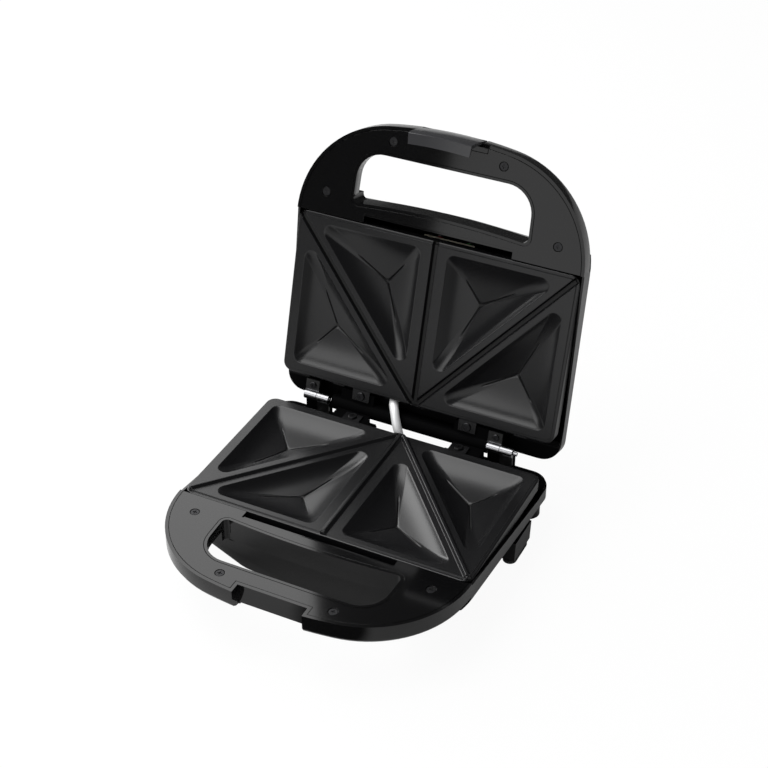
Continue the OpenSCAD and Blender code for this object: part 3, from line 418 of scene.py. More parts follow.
class ToasterFinishes(bpy.types.PropertyGroup):
    shell: shade("Shell", "Colour of the shells' gloss plastic", (0.002, 0.002, 0.0022))
    cover: shade("Handle cover", "Colour of the handle covers", (0.002, 0.002, 0.0022))
    latch: shade("Latch", "Colour of the latch", (0.03, 0.03, 0.032))
    coating: shade("Non-stick", "Colour of the plates' coat", (0.005, 0.005, 0.0055))
    steel: shade("Hinge steel", "Colour of the hinges and their pins", (0.3, 0.3, 0.31))
    screw: shade("Screw steel", "Colour of the blackened screws", (0.045, 0.045, 0.047))
    conduit: shade("Conduit", "Colour of the wire conduit", (0.9, 0.9, 0.91))
    gloss: FloatProperty(
        name="Gloss", description="Roughness of the shells", default=0.07, min=0.02, max=1
    )


class ToasterStudio(bpy.types.PropertyGroup):
    fill: level("Fill", "Strength of the even light", 0.5)
    dark: level("Unlit walls", "Brightness of the studio's unlit walls in reflections", 0.05)
    back: level("Back box", "Brightness of the soft box behind", 2.4)
    left: level("Left box", "Brightness of the soft box at the left", 5.0)
    over: level("Overhead box", "Brightness of the soft box above", 4.2)
    high: level("High front box", "Brightness of the soft box high in front", 2.8)
    front: level("Front box", "Brightness of the soft box in front", 1.0)
    floor: level("Floor", "Greyness of the floor in reflections", 0.45)
    distance: size("Camera distance", "From the camera to the toaster", 1145.4 * MM)
    azimuth: turn("Azimuth", "Where the camera stands, from the front towards the right", 26.195)
    elevation: turn("Elevation", "Height of the camera above the horizon", 35.283)


# Plates

def arc(centre, radius, start, end, steps):
    turns = np.radians(np.linspace(start, end, steps + 1))
    return np.asarray(centre) + radius * np.column_stack([np.cos(turns), np.sin(turns)])


def spaced(a, b, step):
    """Points from a to b, without b, no further apart than step."""
    count = max(1, math.ceil(np.linalg.norm(b - a) / step))
    return a + (b - a) * np.linspace(0, 1, count, endpoint=False)[:, None]


def round_box(half, radius, inset, steps=9, step=6 * MM):
    """Outline of a plate seen from above, drawn in by inset."""
    r = max(radius - inset, 0.5 * MM)
    x, y = half[0] - inset - r, half[1] - inset - r
    corners = [arc((x, -y), r, -90, 0, steps), arc((x, y), r, 0, 90, steps),
               arc((-x, y), r, 90, 180, steps), arc((-x, -y), r, 180, 270, steps)]
    points = []
    for i, corner in enumerate(corners):
        points.append(corner[:-1])
        points.append(spaced(corner[-1], corners[(i + 1) % 4][0], step))
    return np.vstack(points)


def inset_of(points, half, radius):
    """How far inside the plate's outline each point lies."""
    q = np.abs(points) - (np.asarray(half) - radius)
    outside = np.linalg.norm(np.maximum(q, 0), axis=1)
    return radius - outside - np.minimum(np.max(q, axis=1), 0)


def smoothstep(value, low, high):
    t = np.clip((value - low) / (high - low), 0, 1)
    return t * t * (3 - 2 * t)


def inside(points, loop):
    """Which points lie inside a closed loop."""
    a, b = loop, np.roll(loop, -1, axis=0)
    x, y = points[:, :1], points[:, 1:]
    spans = (a[:, 1] > y) != (b[:, 1] > y)
    with np.errstate(divide="ignore", invalid="ignore"):
        cross = (b[:, 0] - a[:, 0]) * (y - a[:, 1]) / (b[:, 1] - a[:, 1]) + a[:, 0]
    return (np.sum(spans & (x < cross), axis=1) % 2).astype(bool)


class PlateShape:
    """The plan and the heights of one cooking plate, in plate coordinates."""

    # Rounding of the outer edge, and of the ridges as a share of their slope
    EDGE_ROUND = 0.7 * MM
    BAR_ROUND = 0.12
    # Loops of points from the edge in, and from the foot of the step round it, in mm
    EDGE_INSETS = (0, 0.1, 0.3, 0.7, 1.0, 1.3, 1.6)
    STEP_INSETS = (-0.5, -0.25, 0, 0.5, 2.0)
    # Points round a pocket's corner and along its sides, and rings down its wall
    CORNER_STEPS = 24
    SIDE_STEP = 2.6 * MM
    RINGS = 36
    # How the wall bends: share of its depth in the shoulder, the shoulder's width and its lip
    SHOULDER = 0.5
    SHOULDER_W = 0.2
    LIP = 0.03
    # Deepest point of a pocket, against its triangle's middle
    OUTER_NUDGE = (-0.2 * MM, -0.7 * MM)
    INNER_NUDGE = (-1.5 * MM, 1.6 * MM)
    # Length of a crease as a share of the way from the deepest point to the corner
    CREASE_SHARE = 0.52

    def __init__(self, settings, grooved):
        self.s = settings
        self.grooved = grooved
        low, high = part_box("lower_plate")
        self.half = np.array([(high.x - low.x) / 2, settings.depth / 2])
        self.bars = [np.array([0.0, -1.0])]
        slant = np.array([self.half[0], -2 * self.half[1]])
        slant /= np.linalg.norm(slant)
        self.bars += [slant, slant * (-1, 1)]
        self.apex = np.array([0.0, self.half[1]])

    def triangles(self):
        """Corners of the two right pockets, anticlockwise, and the nudge of each deepest point."""
        s, (x, y) = self.s, self.half
        across = np.array([-self.bars[1][1], self.bars[1][0]])
        level = across @ self.apex

        def at_x(offset, px):
            return np.array([px, (level + offset - across[0] * px) / across[1]])

        def at_y(offset, py):
            return np.array([(level + offset - across[1] * py) / across[0], py])

        m, right, rear, front = s.diagonal_margin, x - s.margin, y - s.margin, s.front_margin - y
        outer = [at_x(m, right), np.array([right, rear]), at_y(m, rear)]
        inner = [np.array([s.middle_margin, front]), at_y(-m, front), at_x(-m, s.middle_margin)]
        return [(outer, self.OUTER_NUDGE), (inner, self.INNER_NUDGE)]

    def pocket_rim(self, triangle):
        """Rim with round corners, and the middle of each corner's arc."""
        arcs = []
        for i in range(3):
            a, b, c = triangle[i - 1], triangle[i], triangle[(i + 1) % 3]
            u = (a - b) / np.linalg.norm(a - b)
            v = (c - b) / np.linalg.norm(c - b)
            half = math.degrees(math.acos(u @ v)) / 2
            w = (u + v) / np.linalg.norm(u + v)
            r = self.s.pocket_corner
            centre = b + w * r / math.sin(math.radians(half))
            start = math.degrees(math.atan2(-w[1], -w[0])) - (90 - half)
            arcs.append(arc(centre, r, start, start + 2 * (90 - half), self.CORNER_STEPS))
        points = []
        for i, corner in enumerate(arcs):
            points.append(corner[:-1])
            points.append(spaced(corner[-1], arcs[(i + 1) % 3][0], self.SIDE_STEP))
        return np.vstack(points), [corner[self.CORNER_STEPS // 2] for corner in arcs]

    def wall_depth(self, share):
        """Depth of the wall, as a share, at this share of the way in from the rim."""
        def curve(w):
            v = w * w / (w + self.LIP)
            return self.SHOULDER * (1 - np.exp(-v / self.SHOULDER_W)) + (1 - self.SHOULDER) * v
        return curve(share) / curve(1.0)

    def crease(self, points, deepest, tips):
        """How much of a crease runs through each point."""
        best = np.zeros(len(points))
        for tip in tips:
            run = tip - deepest
            length = np.linalg.norm(run)
            along = (points - deepest) @ run / length
            off = np.linalg.norm(points - deepest - np.outer(along, run / length), axis=1)
            end = self.CREASE_SHARE * length
            fade = (1 - smoothstep(along, 0.8 * end, end)) * (along > -self.s.crease_width)
            best = np.maximum(best, np.exp(-(off / self.s.crease_width) ** 2) * fade)
        return best

    def pocket_rings(self, triangle, nudge, mirrored):
        """Rings of a pocket from its rim down, its deepest point, and each point's crease."""
        rim, tips = self.pocket_rim(triangle)
        deepest = sum(triangle) / 3 + np.asarray(nudge)
        rings = []
        for k in range(self.RINGS):
            share = (k / self.RINGS) ** 1.7
            flat = rim + (deepest - rim) * share
            crease = self.crease(flat, deepest, tips)
            drop = self.s.pocket_depth * self.wall_depth(share) + self.s.crease_depth * crease
            rings.append((flat, -HALF_GAP - drop, crease))
        bottom = -HALF_GAP - self.s.pocket_depth - self.s.crease_depth
        if mirrored:
            rings = [(flat[::-1] * (-1, 1), z[::-1], crease[::-1]) for flat, z, crease in rings]
            deepest = deepest * (-1, 1)
        return rings, (*deepest, bottom)

    def bar_section(self):
        """Half widths of a divider: at the face, and at its crest or floor; and its height."""
        s = self.s
        if self.grooved:
            return s.groove_mouth, s.groove_floor, -s.groove_depth
        return s.ridge_foot, s.ridge_crest, s.ridge_height

    def bar_height(self, points):
        """Height of the ridges, or of the grooves below zero, over each point."""
        wide, narrow, high = self.bar_section()
        best = np.zeros(len(points))
        for bar in self.bars:
            off = np.abs((points - self.apex) @ np.array([-bar[1], bar[0]]))
            t, k = (wide - off) / (wide - narrow), self.BAR_ROUND
            part = (np.sqrt(t * t + k * k) - np.sqrt((t - 1) ** 2 + k * k) + 1) / 2 * high
            best = np.where(np.abs(part) > np.abs(best), part, best)
        return best

    def height(self, points):
        """Height of the face over points that lie outside the pockets."""
        s = self.s
        inset = inset_of(points, self.half, s.corner)
        r = self.EDGE_ROUND
        rim = np.clip(r - inset, 0, r)
        z = -HALF_GAP - (r - np.sqrt(r * r - rim * rim))
        z -= s.edge_drop * (1 - smoothstep(inset, s.edge_width - 0.5 * MM, s.edge_width))
        if self.grooved:
            return z + self.bar_height(points) * smoothstep(inset, 0.1 * MM, 0.7 * MM)
        return z + self.bar_height(points) * smoothstep(inset, 0.7 * MM, 1.2 * MM)

    def plan_lines(self):
        """Closed loops and straight lines that the face's triangles must follow."""
        s = self.s
        insets = [*self.EDGE_INSETS, *(s.edge_width / MM + d for d in self.STEP_INSETS)]
        loops = [round_box(self.half, s.corner, d * MM) for d in sorted(insets)]
        lines = []
        wide, narrow, _ = self.bar_section()
        soft = self.BAR_ROUND * (wide - narrow)
        offsets = [wide + 2.5 * soft, wide + soft, wide, wide - soft,
                   narrow + soft, narrow, narrow - soft, narrow - 2.5 * soft]
        for bar in self.bars:
            across = np.array([-bar[1], bar[0]])
            length = 2 * np.linalg.norm(self.half * (1, 2))
            for offset in [o * side for o in offsets for side in (-1, 1)] + [0.0]:
                start = self.apex + across * offset - bar * 5 * MM
                steps = spaced(start, start + bar * length, 7 * MM)
                steps = steps[inset_of(steps, self.half, s.corner) > -3 * MM]
                lines.append(steps)
        return loops, lines


# Fine grid of points where the dividers meet: its reach and its step, in mm
GRID_REACH = 13
GRID_STEP = 0.75


def cut_plan(shape, rims):
    """Triangles of the face outside the pockets: its points, and triples of their numbers."""
    loops, lines = shape.plan_lines()
    points, edges = [], []

    def add(run, closed):
        start = len(points)
        points.extend(map(tuple, run))
        count = len(run)
        edges.extend((start + i, start + (i + 1) % count) for i in range(count if closed else count - 1))

    for rim in rims:
        add(rim, True)
    for loop in loops:
        add(loop, True)
    for line in lines:
        add(line, False)
    near = np.arange(-GRID_REACH, GRID_REACH + 0.1, GRID_STEP) * MM
    grid = np.array([(x, shape.apex[1] + y) for x in near for y in near if y < -3 * MM])
    points.extend(map(tuple, grid))
    made = delaunay_2d_cdt([Vector(p) for p in points], edges, [], 0, 1e-7)
    flat = np.array([tuple(v) for v in made[0]])
    faces = np.array([f for f in made[2] if len(f) == 3])
    middle = flat[faces].mean(axis=1)
    keep = inside(middle, loops[0])
    for rim in rims:
        keep &= ~inside(middle, rim)
    return flat, faces[keep]


def plate_mesh(name, settings, grooved):
    """A cooking plate as one closed mesh, in plate coordinates, face up."""
    shape = PlateShape(settings, grooved)
    pockets = [shape.pocket_rings(triangle, nudge, mirrored)
               for triangle, nudge in shape.triangles() for mirrored in (False, True)]
    flat, faces = cut_plan(shape, [rings[0][0] for rings, _ in pockets])
    bm = bmesh.new()
    # Share of painted shade at each point, which the non-stick finish reads as the crease attribute
    shade_layer = bm.verts.layers.float.new("crease")
    used = np.unique(faces)
    heights = shape.height(flat)
    verts = {i: bm.verts.new((*flat[i], heights[i])) for i in used}
    # Painted shade in the upper plate's grooves, darker towards their floor
    if grooved:
        groove_shade = np.clip(-shape.bar_height(flat) / settings.groove_depth * 1.4 - 0.2, 0, 1)
        for i in used:
            verts[i][shade_layer] = groove_shade[i]
    top = [bm.faces.new([verts[i] for i in face]) for face in faces]
    for rings, deepest in pockets:
        rows = []
        for flat_ring, z, crease in rings:
            row = []
            for p, h, c in zip(flat_ring, z, crease):
                vert = bm.verts.new((*p, h))
                vert[shade_layer] = c
                row.append(vert)
            rows.append(row)
        tip = bm.verts.new(deepest)
        tip[shade_layer] = 1
        count = len(rows[0])
        for upper, lower in zip(rows, rows[1:]):
            for i in range(count):
                j = (i + 1) % count
                top.append(bm.faces.new((upper[i], upper[j], lower[j], lower[i])))
        for i in range(count):
            top.append(bm.faces.new((rows[-1][i], rows[-1][(i + 1) % count], tip)))
    bmesh.ops.remove_doubles(bm, verts=bm.verts[:], dist=MERGE_DIST)
    bmesh.ops.recalc_face_normals(bm, faces=bm.faces[:])
    if sum(f.normal.z * f.calc_area() for f in bm.faces) < 0:
        bmesh.ops.reverse_faces(bm, faces=bm.faces[:])
    close_underside(bm, shape, settings)
    return mesh_from_bmesh(name, bm)


# Wall of a plate's skirt, and the height of its lower edge's last row of faces
SKIRT_WALL = 1.5 * MM
SKIRT_ROW = 0.3 * MM


def wall_down(bm, edges, drops):
    """Walls below an open boundary, with a row of faces to each height in drops: its lowest edges."""
    for z in drops:
        made = bmesh.ops.extrude_edge_only(bm, edges=edges)["geom"]
        edges = [g for g in made if isinstance(g, bmesh.types.BMEdge) and g.is_boundary]
        for vert in {v for e in edges for v in e.verts}:
            vert.co.z = z
    return edges


def close_underside(bm, shape, settings):
    """Adds the skirt, the underside and the skirt's lower edge."""
    inner = []
    for face in bm.faces:
        corners = np.array([v.co.xy[:] for v in face.verts])
        if inset_of(corners, shape.half, settings.corner).min() > SKIRT_WALL:
            inner.append(face)
    copy = bmesh.ops.duplicate(bm, geom=inner)["geom"]
    under = [g for g in copy if isinstance(g, bmesh.types.BMFace)]
    for vert in {v for f in under for v in f.verts}:
        vert.co.z = min(vert.co.z, -HALF_GAP) - settings.wall
    bmesh.ops.reverse_faces(bm, faces=under)
    inside_faces = set(under)
    open_edges = [e for e in bm.edges if e.is_boundary]
    outer_edges = [e for e in open_edges if e.link_faces[0] not in inside_faces]
    inner_edges = [e for e in open_edges if e.link_faces[0] in inside_faces]
    bottom = -HALF_GAP - settings.skirt
    low_outer = wall_down(bm, outer_edges, (bottom + SKIRT_ROW, bottom))
    low_inner = wall_down(bm, inner_edges, (bottom + SKIRT_ROW, bottom))
    bmesh.ops.bridge_loops(bm, edges=low_outer + low_inner)
    bmesh.ops.recalc_face_normals(bm, faces=bm.faces[:])


def add_tabs(mesh, boxes):
    """Joins small cast tabs with rounded edges to a plate."""
    bm = bmesh.new()
    bm.from_mesh(mesh)
    for low, high in boxes:
        made = bmesh.ops.create_cube(bm, size=1)["verts"]
        for vert in made:
            vert.co = Vector((low[i] if vert.co[i] < 0 else high[i]) for i in range(3))
        edges = {e for v in made for e in v.link_edges}
        bmesh.ops.bevel(bm, geom=list(edges), offset=0.35 * MM, segments=2, profile=0.5, affect="EDGES")
    bm.to_mesh(mesh)
    bm.free()


# Copies of CAD nodes with their edges rounded

# Faces that meet within this angle, in degrees, become one, and edges over the other are sharp
FLAT_ANGLE = 0.4
SHARP_ANGLE = 38


def merged_copy(node):
    """A CAD node's mesh as one closed mesh of large faces."""
    bm = bmesh.new()
    bm.from_mesh(frame["nodes"][node].data)
    bmesh.ops.remove_doubles(bm, verts=bm.verts[:], dist=MERGE_DIST)
    bmesh.ops.dissolve_limit(
        bm, angle_limit=math.radians(FLAT_ANGLE), verts=bm.verts[:], edges=bm.edges[:]
    )
    return bm


def polish(node, width=0.0):
    """A CAD node's copy with its finish, and its sharp edges rounded by width."""
    bm = merged_copy(node)
    if width:
        sharp = [e for e in bm.edges
                 if len(e.link_faces) == 2 and e.calc_face_angle() > math.radians(SHARP_ANGLE)]
        bmesh.ops.bevel(
            bm, geom=sharp, offset=width, segments=2, profile=0.5, affect="EDGES", clamp_overlap=True
        )
    name = "look_" + node
    piece = new_object(name, mesh_from_bmesh(name, bm))
    smooth_by_angle(piece.data, SHARP_ANGLE)
    weigh_normals(piece)
    finish_piece(piece, node)
    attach(piece, body_of(node))


# Geometry node trees

class Tree:
    """A geometry node tree with named inputs, for pieces that repeat or follow a path."""

    def __init__(self, name, **inputs):
        self.group = bpy.data.node_groups.new(name, "GeometryNodeTree")
        sockets = self.group.interface
        sockets.new_socket("Geometry", in_out="INPUT", socket_type="NodeSocketGeometry")
        for key, kind in inputs.items():
            sockets.new_socket(key.replace("_", " "), in_out="INPUT", socket_type="NodeSocket" + kind)
        sockets.new_socket("Geometry", in_out="OUTPUT", socket_type="NodeSocketGeometry")
        self.given = self.group.nodes.new("NodeGroupInput").outputs

    def node(self, kind, settings=None, inputs=None):
        made = self.group.nodes.new(kind)
        for key, value in (settings or {}).items():
            setattr(made, key, value)
        for key, value in (inputs or {}).items():
            for one in value if isinstance(value, list) else [value]:
                if isinstance(one, bpy.types.NodeSocket):
                    self.group.links.new(one, made.inputs[key])
                else:
                    made.inputs[key].default_value = one
        return made.outputs[0]

    def finish(self, geometry):
        """Ends the tree with its geometry as real mesh."""
        real = self.node("GeometryNodeRealizeInstances", None, {"Geometry": geometry})
        self.group.links.new(real, self.group.nodes.new("NodeGroupOutput").inputs[0])
        return self

    def bake(self, name, source, **values):
        """Mesh that the tree makes of a source mesh with these input values."""
        host = new_object(name + "_source", source)
        modifier = host.modifiers.new("Build", "NODES")
        modifier.node_group = self.group
        for item in self.group.interface.items_tree:
            key = item.name.replace(" ", "_")
            if item.in_out == "INPUT" and key in values:
                modifier[item.identifier] = values[key]
        graph = bpy.context.evaluated_depsgraph_get()
        mesh = bpy.data.meshes.new_from_object(host.evaluated_get(graph), depsgraph=graph)
        host.modifiers.clear()
        bpy.data.objects.remove(host)
        mesh.name = name
        if not mesh.polygons:
            raise RuntimeError(name + " came out empty")
        return mesh


def screw_tree():
    """A screw on each point: chamfered head with a cross recess, and its shank below."""
    tree = Tree("Screws", Head_Radius="Float", Head_Height="Float", Recess_Length="Float",
                Recess_Width="Float", Shank_Radius="Float", Shank_Length="Float", Seed="Int")
    given = tree.given

    def math_node(operation, *values):
        return tree.node("ShaderNodeMath", {"operation": operation}, dict(enumerate(values)))

    def at(geometry, z):
        place = tree.node("ShaderNodeCombineXYZ", None, {"Z": z})
        return tree.node("GeometryNodeTransform", None, {"Geometry": geometry, "Translation": place})

    flat = math_node("MULTIPLY", given["Head Height"], 0.7)
    bevel = math_node("SUBTRACT", given["Head Height"], flat)
    disc = tree.node("GeometryNodeMeshCylinder", None, {
        "Vertices": 40, "Radius": given["Head Radius"], "Depth": flat,
    })
    crown = tree.node("GeometryNodeMeshCone", None, {
        "Vertices": 40, "Radius Top": math_node("SUBTRACT", given["Head Radius"], bevel),
        "Radius Bottom": given["Head Radius"], "Depth": bevel,
    })
    shank = tree.node("GeometryNodeMeshCylinder", None, {
        "Vertices": 16, "Radius": given["Shank Radius"], "Depth": given["Shank Length"],
    })
    low = math_node("MULTIPLY", given["Shank Length"], -0.5)
    whole = tree.node("GeometryNodeMeshBoolean", {"operation": "UNION", "solver": "EXACT"}, {
        "Mesh 2": [at(disc, math_node("MULTIPLY", flat, 0.5)), at(crown, flat),
                   at(shank, math_node("ADD", low, math_node("MULTIPLY", flat, 0.5)))],
    })
    bars = []
    sides = given["Recess Length"], given["Recess Width"]
    for along, across in (sides, sides[::-1]):
        size_of = tree.node("ShaderNodeCombineXYZ", None, {
            "X": along, "Y": across, "Z": given["Head Height"],
        })
        bars.append(at(tree.node("GeometryNodeMeshCube", None, {"Size": size_of}), given["Head Height"]))
    cut = tree.node("GeometryNodeMeshBoolean", {"operation": "DIFFERENCE", "solver": "EXACT"}, {
        "Mesh 1": whole, "Mesh 2": bars,
    })
    turn = tree.node("FunctionNodeRandomValue", {"data_type": "FLOAT"}, {
        "Seed": given["Seed"],
    })
    spin = tree.node("ShaderNodeCombineXYZ", None, {"Z": turn})
    screws = tree.node("GeometryNodeInstanceOnPoints", None, {
        "Points": given["Geometry"], "Instance": cut, "Rotation": spin,
    })
    return tree.finish(screws)


def tube_tree():
    """A round tube along a polyline."""
    tree = Tree("Tube", Radius="Float", Sides="Int", Rings="Int")
    given = tree.given
    line = tree.node("GeometryNodeMeshToCurve", None, {0: given["Geometry"]})
    smooth = tree.node("GeometryNodeCurveSplineType", {"spline_type": "CATMULL_ROM"}, {0: line})
    even = tree.node("GeometryNodeResampleCurve", None, {"Curve": smooth, "Count": given["Rings"]})
    ring = tree.node("GeometryNodeCurvePrimitiveCircle", None, {
        "Resolution": given["Sides"], "Radius": given["Radius"],
    })
    tube = tree.node("GeometryNodeCurveToMesh", None, {
        "Curve": even, "Profile Curve": ring, "Fill Caps": True,
    })
    return tree.finish(tube)


def point_mesh(points, joined=False):
    mesh = bpy.data.meshes.new("points")
    edges = [(i, i + 1) for i in range(len(points) - 1)] if joined else []
    mesh.from_pydata([tuple(p) for p in points], edges, [])
    return mesh


# Materials, made once and shared

FINISHES = {}


def finishes():
    """Every finish of the toaster, by the record's slot."""
    if FINISHES:
        return FINISHES
    s = bpy.context.scene.toaster_finishes
    FINISHES.update({
        "shell_black": gloss_plastic("Shell gloss plastic", tuple(s.shell), s.gloss),
        "cover_black": gloss_plastic("Handle cover plastic", tuple(s.cover), s.gloss),
        "latch_black": gloss_plastic("Latch plastic", tuple(s.latch), s.gloss * 1.6),
        "nonstick": nonstick("Non-stick coat", tuple(s.coating), 0.26),
        "hinge_steel": hinge_metal("Hinge steel", tuple(s.steel), 0.24),
        "screw_steel": drawn_metal("Screw steel", tuple(s.screw), 0.34, (1, 1, 0.2)),
        "conduit_metal": drawn_metal(
            "Conduit metal", tuple(s.conduit), 0.42, (1, 1, 0.2), wear=0.12, metallic=0.3
        ),
        "reflector_sheet": drawn_metal("Reflector aluminium", (0.7, 0.7, 0.7), 0.3, (0.1, 1, 1)),
        "element_sheath": tinted_sheath("Element sheath", (0.25, 0.24, 0.23), 0.4),
        "foot_rubber": matte_plastic("Foot rubber", (0.02, 0.02, 0.02), 0.75),
        "insulator": matte_plastic("Insulator", (0.6, 0.55, 0.45), 0.6, 0.15),
        "wire_sleeve": matte_plastic("Wire sleeve", (0.45, 0.05, 0.03), 0.65, 0.4, 2500),
        "lens_red": lens_plastic("Red lens", (0.45, 0.01, 0.008)),
        "lens_green": lens_plastic("Green lens", (0.01, 0.3, 0.03)),
    })
    return FINISHES


# Operators

class TOASTER_OT_plates(bpy.types.Operator):
    """Cooking plates with smooth pockets, cutting ridges and the grooves that take them"""

    bl_idname = "toaster.plates"
    bl_label = "Cooking plates"

    # A rear tab: its middle and half width, how far it reaches in and out, and its levels
    TAB_X = 43.4 * MM
    TAB_HALF = 7 * MM
    TAB_IN = 1 * MM
    TAB_OUT = 9 * MM
    TAB_LOW = -3.4 * MM
    TAB_TOP = -1.7 * MM

    def tab(self, side, half_d):
        """Corners of the box of a tab behind a plate of this half depth."""
        x = side * self.TAB_X
        return ((x - self.TAB_HALF, half_d - self.TAB_IN, self.TAB_LOW),
                (x + self.TAB_HALF, half_d + self.TAB_OUT, self.TAB_TOP))

    def execute(self, context):
        settings = context.scene.toaster_plates
        for name, node, grooved, place in (
            ("lower_cooking_plate", "lower_plate", False, base_place()),
            ("upper_cooking_plate", "upper_plate", True, lid_place() @ FLIP),
        ):
            mesh = plate_mesh(name, settings, grooved)
            add_tabs(mesh, [self.tab(side, settings.depth / 2) for side in (-1, 1)])
            put_in_place(mesh, place)
            piece = new_object(name, mesh)
            smooth_by_angle(mesh, 40)
            weigh_normals(piece)
            finish_piece(piece, node)
            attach(piece, body_of(node))
        return {"FINISHED"}


# Rounding of the shells' moulded edges
EDGE_W = 0.35 * MM


class TOASTER_OT_shells(bpy.types.Operator):
    """Base and lid shells, and the covers over the hollows of their handles"""

    bl_idname = "toaster.shells"
    bl_label = "Shells and handle covers"

    def execute(self, context):
        for node in ("base_shell", "lid_shell", "base_handle_cover", "lid_handle_cover"):
            polish(node, EDGE_W)
        return {"FINISHED"}


class TOASTER_OT_hinges(bpy.types.Operator):
    """Hinge halves, their pins, and the latch on its own pin"""

    bl_idname = "toaster.hinges"
    bl_label = "Hinges and latch"

    def execute(self, context):
        for node in ("base_hinge_left", "base_hinge_right", "lid_hinge_left", "lid_hinge_right",
                     "hinge_pin_left", "hinge_pin_right", "latch", "latch_pin"):
            polish(node)
        return {"FINISHED"}


class TOASTER_OT_screws(bpy.types.Operator):
    """Screws with a cross recess"""

    bl_idname = "toaster.screws"
    bl_label = "Screws"

    # Places in mm, with the level under the heads
    COVER = [(side * x, y, -1.65) for x, y in ((42.3, -127.3), (90, -80.5)) for side in (-1, 1)]
    PLATE = [(side * 43.4, 68.25, -1.7) for side in (-1, 1)]
    BASE_HINGE = [(-72.9, 72.25, -12.0), (77.1, 72.25, -12.0)]
    LID_HINGE = [(-83.1, 69.75, -1.5), (66.9, 69.75, -1.5)]
    # Radius of the head and length of the shank, in mm
    LARGE = (3.3, 9.0)
    MIDDLE = (3.3, 8.0)
    SMALL = (2.5, 6.0)
    SETS = (
        ("base_cover_screws", COVER, LARGE), ("lower_plate_screws", PLATE, MIDDLE),
        ("base_hinge_screws", BASE_HINGE, SMALL), ("lid_cover_screws", COVER, LARGE),
        ("upper_plate_screws", PLATE, MIDDLE), ("lid_hinge_screws", LID_HINGE, SMALL),
    )

    def execute(self, context):
        tree = screw_tree()
        places = {"base": base_place(), "lid": lid_place() @ FLIP}
        for seed, (node, spots, (head, length)) in enumerate(self.SETS, 1):
            body = body_of(node)
            mesh = tree.bake(
                "look_" + node, point_mesh([Vector(p) * MM for p in spots]),
                Head_Radius=head * MM, Head_Height=1.2 * MM, Recess_Length=3.2 * MM,
                Recess_Width=0.8 * MM, Shank_Radius=1.25 * MM, Shank_Length=length * MM, Seed=seed,
            )
            put_in_place(mesh, places[body])
            smooth_by_angle(mesh, 30)
            piece = new_object(mesh.name, mesh)
            finish_piece(piece, node)
            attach(piece, body)
        return {"FINISHED"}


class TOASTER_OT_conduit(bpy.types.Operator):
    """Wire conduit that bends from the base to the lid"""

    bl_idname = "toaster.conduit"
    bl_label = "Wire conduit"

    # Centre line from the lid to the base, in mm
    ROUTE = [
        (-19.5, 103.5, 3), (-19.5, 96.5, 5), (-19.3, 90.5, 7.4), (-17.8, 85.2, 8), (-15, 80.4, 6.4),
        (-12.2, 76.4, 3), (-9.6, 73.4, -1.5), (-7.2, 71.6, -6.5), (-5.2, 70.6, -12), (-4.4, 70.3, -18),
        (-4.4, 70.3, -27),
    ]
    RADIUS = 3.35 * MM
    # Lengths at its ends that were to stay straight; nothing reads them
    BASE_END = 12 * MM
    LID_END = 4 * MM

    def execute(self, context):
        mesh = tube_tree().bake(
            "wire_conduit_tube", point_mesh([Vector(p) * MM for p in self.ROUTE], joined=True),
            Radius=self.RADIUS, Sides=32, Rings=72,
        )
        mesh.transform(base_place())
        bm = bmesh.new()
        bm.from_mesh(mesh)
        bmesh.ops.remove_doubles(bm, verts=bm.verts[:], dist=1e-6)
        bmesh.ops.recalc_face_normals(bm, faces=bm.faces[:])
        bm.to_mesh(mesh)
        bm.free()
        smooth_by_angle(mesh, 50)
        piece = new_object("wire_conduit_tube", mesh)
        finish_piece(piece, "wire_conduit")
        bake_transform(piece)
        return {"FINISHED"}


class TOASTER_OT_fittings(bpy.types.Operator):
    """Feet, gland, lenses and what is inside: elements, reflectors, wiring and controls"""

    bl_idname = "toaster.fittings"
    bl_label = "Feet, lenses and inner parts"

    def execute(self, context):
        for node in ("foot_pads", "cord_gland", "indicator_lens_red", "indicator_lens_green",
                     "lamp_holder", "terminal_block", "thermal_fuse", "base_wiring", "lid_wiring",
                     "thermostat", "lower_reflector", "upper_reflector", "lower_element",
                     "upper_element", "lower_element_clamps", "upper_element_clamps"):
            polish(node)
        return {"FINISHED"}


class TOASTER_OT_stage(bpy.types.Operator):
    """White floor and surroundings, soft lamps and the camera"""

    bl_idname = "toaster.stage"
    bl_label = "Stage"

    def execute(self, context):
        studio = context.scene.toaster_studio
        make_floor(studio)
        make_world(studio)
        make_lamps(studio)
        make_camera(studio)
        return {"FINISHED"}


# Stage

FLOOR_SIDE = 6.0
# Share of white that the camera sees in the floor: the rest shows the shadow
FLOOR_WHITE = 0.94
# Middle and radius of a painted shadow on the floor, seen only in reflections, and how light it is
SHADOW_PATCH = (0.042, -0.2)
SHADOW_PATCH_R = 0.05
SHADOW_PATCH_GREY = 0.02


